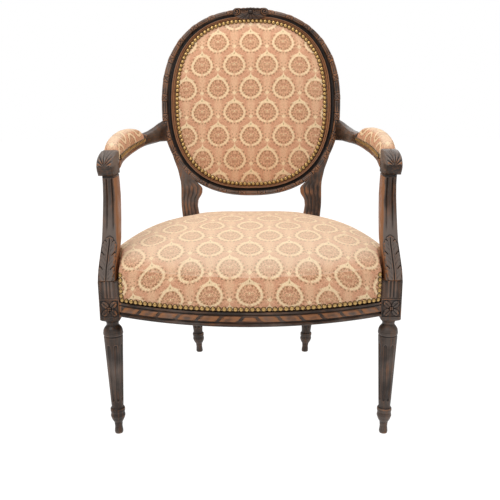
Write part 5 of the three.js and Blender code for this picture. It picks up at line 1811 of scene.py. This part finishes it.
def back_shell():
    angles = np.linspace(0, 2 * math.pi, 200, endpoint=False)
    cover_edge = nail_ring(angles) + NAIL_RADIUS / 2
    crown_edge = nail_ring(angles) - NAIL_RADIUS
    underside = [(cover_edge * share, 1.9) for share in (0.04, 0.3, 0.6, 0.88)]
    underside += [(cover_edge - 0.5, 0.1), (cover_edge, 0.9), (cover_edge - 0.4, COVER - 0.4),
                  (nail_ring(angles) - 1.5, COVER - 0.3)]
    rings = [ring_point(angles, radius, REBATE_FACE + above) for radius, above in underside]
    face = REBATE_FACE + COVER - 0.2
    held = len(rings)
    for share in spread((1, 0.88, 12), (0.86, 0.02, 34)):
        height = BACK_CROWN * (0.35 * (1 - share ** 2) + 0.65 * (1 - share ** 9))
        rings.append(ring_point(angles, crown_edge * share, face + height))
    rings = np.array(rings)
    flat = rings - BACK_ORIGIN
    values = np.stack([flat[..., 0], flat @ RAKE_UP - BACK_PATTERN_START], -1)
    is_held = np.repeat(np.arange(len(rings)) <= held, len(angles))
    return loft(rings, False, values), np.append(is_held, [True, False])


class FAUTEUIL_OT_back_cushion(bpy.types.Operator):
    """Makes the padded medallion of the back, and lets it swell"""
    bl_idname = "fauteuil.back_cushion"
    bl_label = "Back cushion"

    def execute(self, context):
        shell, held = back_shell()
        item = piece("back_cushion", [shell], "tapestry", ["back_cover", "back_stuffing"])
        swell(item, held, 0.7 * context.scene.fauteuil_fabric.crown_cap)
        refine(item)
        return {"FINISHED"}


PAD = [
    (0, 0.5, 0.9), (0.015, 0.66, 0.94), (0.03, 0.76, 0.97), (0.06, 0.86, 0.99), (0.1, 0.93, 1), (0.25, 1, 1),
    (0.42, 1, 1), (0.6, 1, 1), (0.78, 0.95, 1), (0.88, 0.86, 0.985), (0.95, 0.72, 0.95), (1, 0.5, 0.88),
]
PAD_EXTRA = 8.0


def pad_station(share):
    y = PAD_START + PAD_LENGTH * share
    along = (y - ARM_FRONT) / ARM_SPAN
    width = ARM_WIDTH * column(ARM, 4, along) * rounded_column(PAD, 2, share, 0.012)
    base = PAD_BASE + ARM_TOP_RISE * column(ARM, 3, along)
    height = (PAD_HEIGHT + PAD_EXTRA * min(1, 0.45 + share)) * rounded_column(PAD, 1, share, 0.02)
    return y, arm_x(along), width, height, base


def pad_shell():
    rings = []
    values = []
    held = []
    turn = np.linspace(0, math.pi, 37)
    for share in spread((0.0, 0.06, 7), (0.075, 0.92, 70), (0.93, 1, 8)):
        y, x, width, height, base = pad_station(share)
        half = width / 2
        across = -np.cos(turn)
        side = np.sign(across) * np.abs(across) ** 0.62
        up = np.sin(turn) ** 0.72
        bulge = 1 + 0.055 * np.sin(np.clip(up * 1.6, 0, 1) * math.pi)
        top_x = x + half * side * bulge
        top_z = base + 0.1 + height * up
        under_x = x + half * np.linspace(0.97, -0.97, 13)[1:-1]
        ring_x = np.concatenate([top_x, under_x])
        ring_z = np.concatenate([top_z, np.full(len(under_x), base + 0.1)])
        rings.append(rows_of(ring_x, y, ring_z))
        lengths = run_lengths(rows_of(top_x, top_z))
        lengths = np.concatenate([lengths - lengths[-1] / 2, -under_x + x])
        held.append(ring_z < base + 9)
        values.append(rows_of(lengths, y))
    return loft(rings, False, values), np.append(np.concatenate(held), [True, True])


def pad_nail_path(side, facing):
    shares = np.linspace(NAIL_RADIUS / PAD_LENGTH, 1 - NAIL_RADIUS / PAD_LENGTH, 50)
    points = []
    for share in shares:
        y, x, width, _, base = pad_station(share)
        reach = width / 2 * 1.045 + 0.3
        points.append((side * x + facing * reach, y, base + NAIL_RADIUS + FIT))
    return np.array(points), np.tile([float(facing), 0.0, 0.12], (len(points), 1))


class FAUTEUIL_OT_arm_pads(bpy.types.Operator):
    """Makes the padded tops of the arms, and lets them swell"""
    bl_idname = "fauteuil.arm_pads"
    bl_label = "Arm pads"

    def execute(self, context):
        shell, held = pad_shell()
        for name, form in (("right", shell), ("left", mirrored(shell))):
            nodes = [f"arm_pad_cover_{name}", f"arm_pad_stuffing_{name}"]
            item = piece(f"arm_pad_{name}", [form], "tapestry", nodes)
            swell(item, held, 0.3 * context.scene.fauteuil_fabric.crown_cap, 2.0)
            refine(item)
        return {"FINISHED"}


class FAUTEUIL_OT_outside_back(bpy.types.Operator):
    """Stretches the cloth over the rear of the back, with a cord round its edge"""
    bl_idname = "fauteuil.outside_back"
    bl_label = "Outside back"

    def execute(self, context):
        angles = np.linspace(0, 2 * math.pi, 160, endpoint=False)
        edge = nail_ring(angles) - INNER_LIP - 3 * FIT
        rings = []
        for share in (0.04, 0.35, 0.7, 0.97):
            rings.append(ring_point(angles, edge * share, -FRAME_DEPTH + COVER))
        rings.append(ring_point(angles, edge, -FRAME_DEPTH + COVER - 0.6))
        for share in (1.0, 0.985, 0.95, 0.88, 0.78, 0.66, 0.52, 0.38, 0.24, 0.1, 0.02):
            depth = -FRAME_DEPTH + 0.3 - 3.2 * (1 - share ** 6)
            rings.append(ring_point(angles, edge * share, depth))
        rings = np.array(rings)
        flat = rings - BACK_ORIGIN
        values = np.stack([flat[..., 0], flat @ RAKE_UP], -1)
        cloth = loft(rings, False, values)
        path = ring_point(angles, edge - 1.6, -FRAME_DEPTH - 0.4)
        points, quads, triangles, _ = tube_shell(path, 1.7, 8, True)
        cord = (points, quads, triangles, points[:, [0, 2]])
        piece("outside_back_cloth", [cloth, cord], "tapestry", ["outside_back_panel"])
        return {"FINISHED"}


# Under the seat
class FAUTEUIL_OT_linings(bpy.types.Operator):
    """Lays the hessian over the springs and behind the back padding"""
    bl_idname = "fauteuil.linings"
    bl_label = "Hessian"

    def execute(self, context):
        inset = UPPER_INSET + 3
        outline = seat_outline(inset, inset)
        middle = np.array([0, SEAT_MIDDLE])
        rings = []
        levels = ((0.02, 0.5), (0.35, 0.5), (0.7, 0.4), (1, 0.4), (1, 1.7), (0.7, 1.7),
                  (0.35, 1.8), (0.02, 1.8))
        for share, above_rail in levels:
            rings.append(lifted(middle + (outline - middle) * share, RAIL_TOP + above_rail))
        piece("seat_hessian_cloth", [loft(rings)], "hessian", ["seat_hessian"])
        angles = np.linspace(0, 2 * math.pi, 96, endpoint=False)
        edge = nail_ring(angles) - NAIL_RADIUS - COVER - INNER_LIP / 4
        rings = []
        for share, depth in ((0.02, -4.6), (0.5, -4.6), (1, -4.6), (1, -3.3), (0.5, -3.3), (0.02, -3.3)):
            rings.append(ring_point(angles, edge * share, depth))
        piece("back_hessian_cloth", [loft(rings)], "hessian", ["back_hessian"])
        return {"FINISHED"}


STRAP_WIDTH = 52.0
STRAP_THICKNESS = 1.8
STRAP_SETBACK = 16.0
STRAP_LEVEL = 282.75
STRAP_SPAN = (REAR_FACE - BLOCK_HALF) * 0.86
LENGTHWISE_X = [share * REAR_INNER for share in (-0.61, -0.2035, 0.2035, 0.61)]
CROSSWISE_Y = [BLOCK_HALF + STRAP_SPAN * share for share in (0.24, 0.5, 0.76)]


def strap_shell(start, end, lengthwise, place, crossings, first_over):
    """A strap that passes over and under the straps it crosses."""
    rings = []
    for run in np.linspace(start, end, 140):
        rise = 0.0
        for k, crossing in enumerate(crossings):
            over = 1 if (k + first_over) % 2 == 0 else -1
            rise += over * 1.02 * (1 - smooth(STRAP_WIDTH / 2 - 6, STRAP_WIDTH / 2 + 26, abs(run - crossing)))
        ends = 1 - smooth(0, 30, min(run - start, end - run))
        z = STRAP_LEVEL + rise * (1 - ends) + 1.0 * ends
        across = np.linspace(-STRAP_WIDTH / 2, STRAP_WIDTH / 2, 15)
        half = STRAP_THICKNESS / 2
        thin = half * (1 - 0.25 * bump(np.abs(across) - STRAP_WIDTH / 2, 1.5))
        ring_across = np.concatenate([across, across[::-1]]) + place
        ring_z = np.concatenate([z + thin, z - thin])
        plan = (ring_across, run) if lengthwise else (run, ring_across)
        rings.append(rows_of(*plan, ring_z))
    return loft(rings)


class FAUTEUIL_OT_webbing(bpy.types.Operator):
    """Interlaces the straps of webbing under the rails"""
    bl_idname = "fauteuil.webbing"
    bl_label = "Webbing"

    def execute(self, context):
        shells = {}
        for i, x in enumerate(LENGTHWISE_X):
            start = front_y(x, STRAP_SETBACK)
            end = REAR_FACE - STRAP_SETBACK
            shells[f"lengthwise_{i + 1}"] = strap_shell(start, end, True, x, CROSSWISE_Y, i % 2)
        for i, y in enumerate(CROSSWISE_Y):
            half = side_x(y + STRAP_WIDTH / 2, STRAP_SETBACK)
            shells[f"crosswise_{i + 1}"] = strap_shell(-half, half, False, y, LENGTHWISE_X, (i + 1) % 2)
        for name, shell in shells.items():
            piece(f"webbing_strap_{name}", [shell], "jute_webbing", [f"webbing_{name}"])
        return {"FINISHED"}


SPRING_HEIGHT = 67.0
SPRING_RADIUS = 34.0
SPRING_TURNS = 3
WIRE_RADIUS = 2.0
SPRING_FIT = 0.2


class FAUTEUIL_OT_springs(bpy.types.Operator):
    """Winds the waisted springs that stand on the webbing"""
    bl_idname = "fauteuil.springs"
    bl_label = "Springs"

    def execute(self, context):
        bottom = RAIL_BOTTOM + WIRE_RADIUS + SPRING_FIT + FIT
        height = SPRING_HEIGHT - 2 * (WIRE_RADIUS + SPRING_FIT + FIT)
        share = np.linspace(0, 1, 130)
        turn = share * SPRING_TURNS * 2 * math.pi
        radius = SPRING_RADIUS * (1 - 0.28 * np.sin(math.pi * share))
        x = 0.42 * REAR_OUTER + radius * np.cos(turn)
        for row, y in (("front", CROSSWISE_Y[0]), ("rear", CROSSWISE_Y[2])):
            path = rows_of(x, y + radius * np.sin(turn), bottom + height * share)
            both_sides(f"{row}_spring", "coil", [tube_shell(path, WIRE_RADIUS, 8)], "spring_steel", None)
        return {"FINISHED"}


class FAUTEUIL_OT_fixings(bpy.types.Operator):
    """Gives the dowels, corner blocks and screws their finish"""
    bl_idname = "fauteuil.fixings"
    bl_label = "Fixings"

    def execute(self, context):
        for name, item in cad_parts.items():
            if "dowel" in name or "corner_block" in name:
                look = finish("bare_wood")
            elif "screw" in name:
                look = finish("spring_steel")
            else:
                continue
            for slot in item.material_slots:
                slot.material = look
        return {"FINISHED"}


def make_floor(name):
    paint = Paint(name, roughness=0.9, specular=0.1)
    place = paint.place()
    grain = paint.noise(place, 3.0, 2.0)
    paint.finish(paint.mix(paint.ramp(grain, 0.3, 0.7), tone(246, 246, 246), tone(250, 250, 250)))
    rays = paint.node("ShaderNodeLightPath")
    seen = paint.wire(rays, "Is Camera Ray") + paint.wire(rays, "Is Glossy Ray")
    glow = paint.node("ShaderNodeEmission", inputs={"Color": (1, 1, 1), "Strength": 1.16})
    blend = paint.node("ShaderNodeMixShader", inputs={0: (seen > 0.5) * 0.88})
    paint.tree.links.new(paint.shader.outputs[0], blend.inputs[1])
    paint.tree.links.new(glow.outputs[0], blend.inputs[2])
    output = next(node for node in paint.tree.nodes if node.type == "OUTPUT_MATERIAL")
    paint.tree.links.new(blend.outputs[0], output.inputs[0])
    return paint.material


# Name, place, height of the point it is aimed at, size and power of each lamp
LAMPS = (
    ("key_lamp", (-1.3, -1.7, 3.0), 0.5, 1.6, 37),
    ("fill_lamp", (1.9, -1.8, 1.8), 0.5, 1.8, 7),
    ("top_lamp", (0.1, 0.2, 2.9), 0.4, 1.6, 25),
    ("rear_lamp", (0.6, 2.6, 1.8), 0.5, 1.8, 12),
)
WORLD_STRENGTH = 0.48
FLOOR_RADIUS = 9
CAMERA_PLACE = (0.015, -1.5512, 0.753)
CAMERA_TURNS = ((0.011, "Z"), (math.pi / 2 - 0.244, "X"), (-0.006, "Z"))
CAMERA_LENS = 46.43


def add_lamp(name, place, aim, size, power):
    light = bpy.data.lights.new(name, "AREA")
    light.shape = "DISK"
    light.size = size
    light.energy = power
    lamp = add_object(name, light)
    lamp.rotation_mode = "QUATERNION"
    lamp.rotation_quaternion = (Vector(place) - Vector((0, 0, aim))).to_track_quat("Z", "Y")
    lamp.location = place


def make_world():
    world = bpy.data.worlds.new("studio")
    world.use_nodes = True
    tree = world.node_tree
    tree.nodes.clear()
    rays = tree.nodes.new("ShaderNodeLightPath")
    seen = tree.nodes.new("ShaderNodeMath")
    seen.operation = "MAXIMUM"
    blend = tree.nodes.new("ShaderNodeMixShader")
    output = tree.nodes.new("ShaderNodeOutputWorld")
    for i, ray in enumerate(("Is Camera Ray", "Is Transmission Ray")):
        tree.links.new(rays.outputs[ray], seen.inputs[i])
    tree.links.new(seen.outputs[0], blend.inputs[0])
    for i, strength in ((1, WORLD_STRENGTH), (2, 1.0)):
        light = tree.nodes.new("ShaderNodeBackground")
        light.inputs["Color"].default_value = (1, 1, 1, 1)
        light.inputs["Strength"].default_value = strength
        tree.links.new(light.outputs[0], blend.inputs[i])
    tree.links.new(blend.outputs[0], output.inputs[0])
    return world


class FAUTEUIL_OT_stage(bpy.types.Operator):
    """Sets the floor, the soft light and the camera"""
    bl_idname = "fauteuil.stage"
    bl_label = "Stage"

    def execute(self, context):
        scene = context.scene
        floor = bpy.data.meshes.new("floor")
        sides = 48
        turns = [2 * math.pi * i / sides for i in range(sides)]
        points = [(FLOOR_RADIUS * math.cos(turn), FLOOR_RADIUS * math.sin(turn), 0) for turn in turns]
        floor.from_pydata(points, [], [tuple(range(sides))])
        floor.materials.append(make_floor("pale_floor"))
        item = add_object("floor", floor)
        scene.world = make_world()
        for lamp in LAMPS:
            add_lamp(*lamp)
        camera = bpy.data.cameras.new("camera")
        camera.sensor_width = 36
        camera.lens = CAMERA_LENS
        view = add_object("camera", camera)
        turned = Matrix.Translation(CAMERA_PLACE)
        for angle, axis in CAMERA_TURNS:
            turned = turned @ Matrix.Rotation(angle, 4, axis)
        view.matrix_world = turned
        scene.camera = view
        scene.view_settings.view_transform = "Standard"
        return {"FINISHED"}


SETTINGS = (
    ("fauteuil_wood", WoodSettings), ("fauteuil_fabric", FabricSettings), ("fauteuil_nails", NailSettings),
    ("fauteuil_ribbon", RibbonSettings),
)
OPERATORS = (
    FAUTEUIL_OT_front_legs, FAUTEUIL_OT_rear_stiles, FAUTEUIL_OT_back_frame, FAUTEUIL_OT_seat_rails,
    FAUTEUIL_OT_rail_ribbon, FAUTEUIL_OT_arms, FAUTEUIL_OT_arm_supports, FAUTEUIL_OT_seat_cushion,
    FAUTEUIL_OT_back_cushion, FAUTEUIL_OT_arm_pads, FAUTEUIL_OT_outside_back, FAUTEUIL_OT_linings,
    FAUTEUIL_OT_webbing, FAUTEUIL_OT_springs, FAUTEUIL_OT_nails, FAUTEUIL_OT_fixings, FAUTEUIL_OT_stage,
)


class FAUTEUIL_PT_pieces(bpy.types.Panel):
    """Lists the sizes, the colours and the pieces"""
    bl_idname = "FAUTEUIL_PT_pieces"
    bl_label = "Fauteuil"
    bl_space_type = "VIEW_3D"
    bl_region_type = "UI"
    bl_category = "Fauteuil"

    def draw(self, context):
        layout = self.layout
        for name, group in SETTINGS:
            box = layout.box()
            for key in group.__annotations__:
                box.prop(getattr(context.scene, name), key)
        for operator in OPERATORS:
            layout.operator(operator.bl_idname)


def register():
    for name, group in SETTINGS:
        bpy.utils.register_class(group)
        setattr(bpy.types.Scene, name, PointerProperty(type=group))
    for operator in OPERATORS:
        bpy.utils.register_class(operator)
    bpy.utils.register_class(FAUTEUIL_PT_pieces)


def unregister():
    bpy.utils.unregister_class(FAUTEUIL_PT_pieces)
    for operator in reversed(OPERATORS):
        bpy.utils.unregister_class(operator)
    for name, group in reversed(SETTINGS):
        delattr(bpy.types.Scene, name)
        bpy.utils.unregister_class(group)


def main():
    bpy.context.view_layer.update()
    register()
    for operator in OPERATORS:
        family, action = operator.bl_idname.split(".")
        getattr(getattr(bpy.ops, family), action)()


if __name__ == "__main__":
    main()
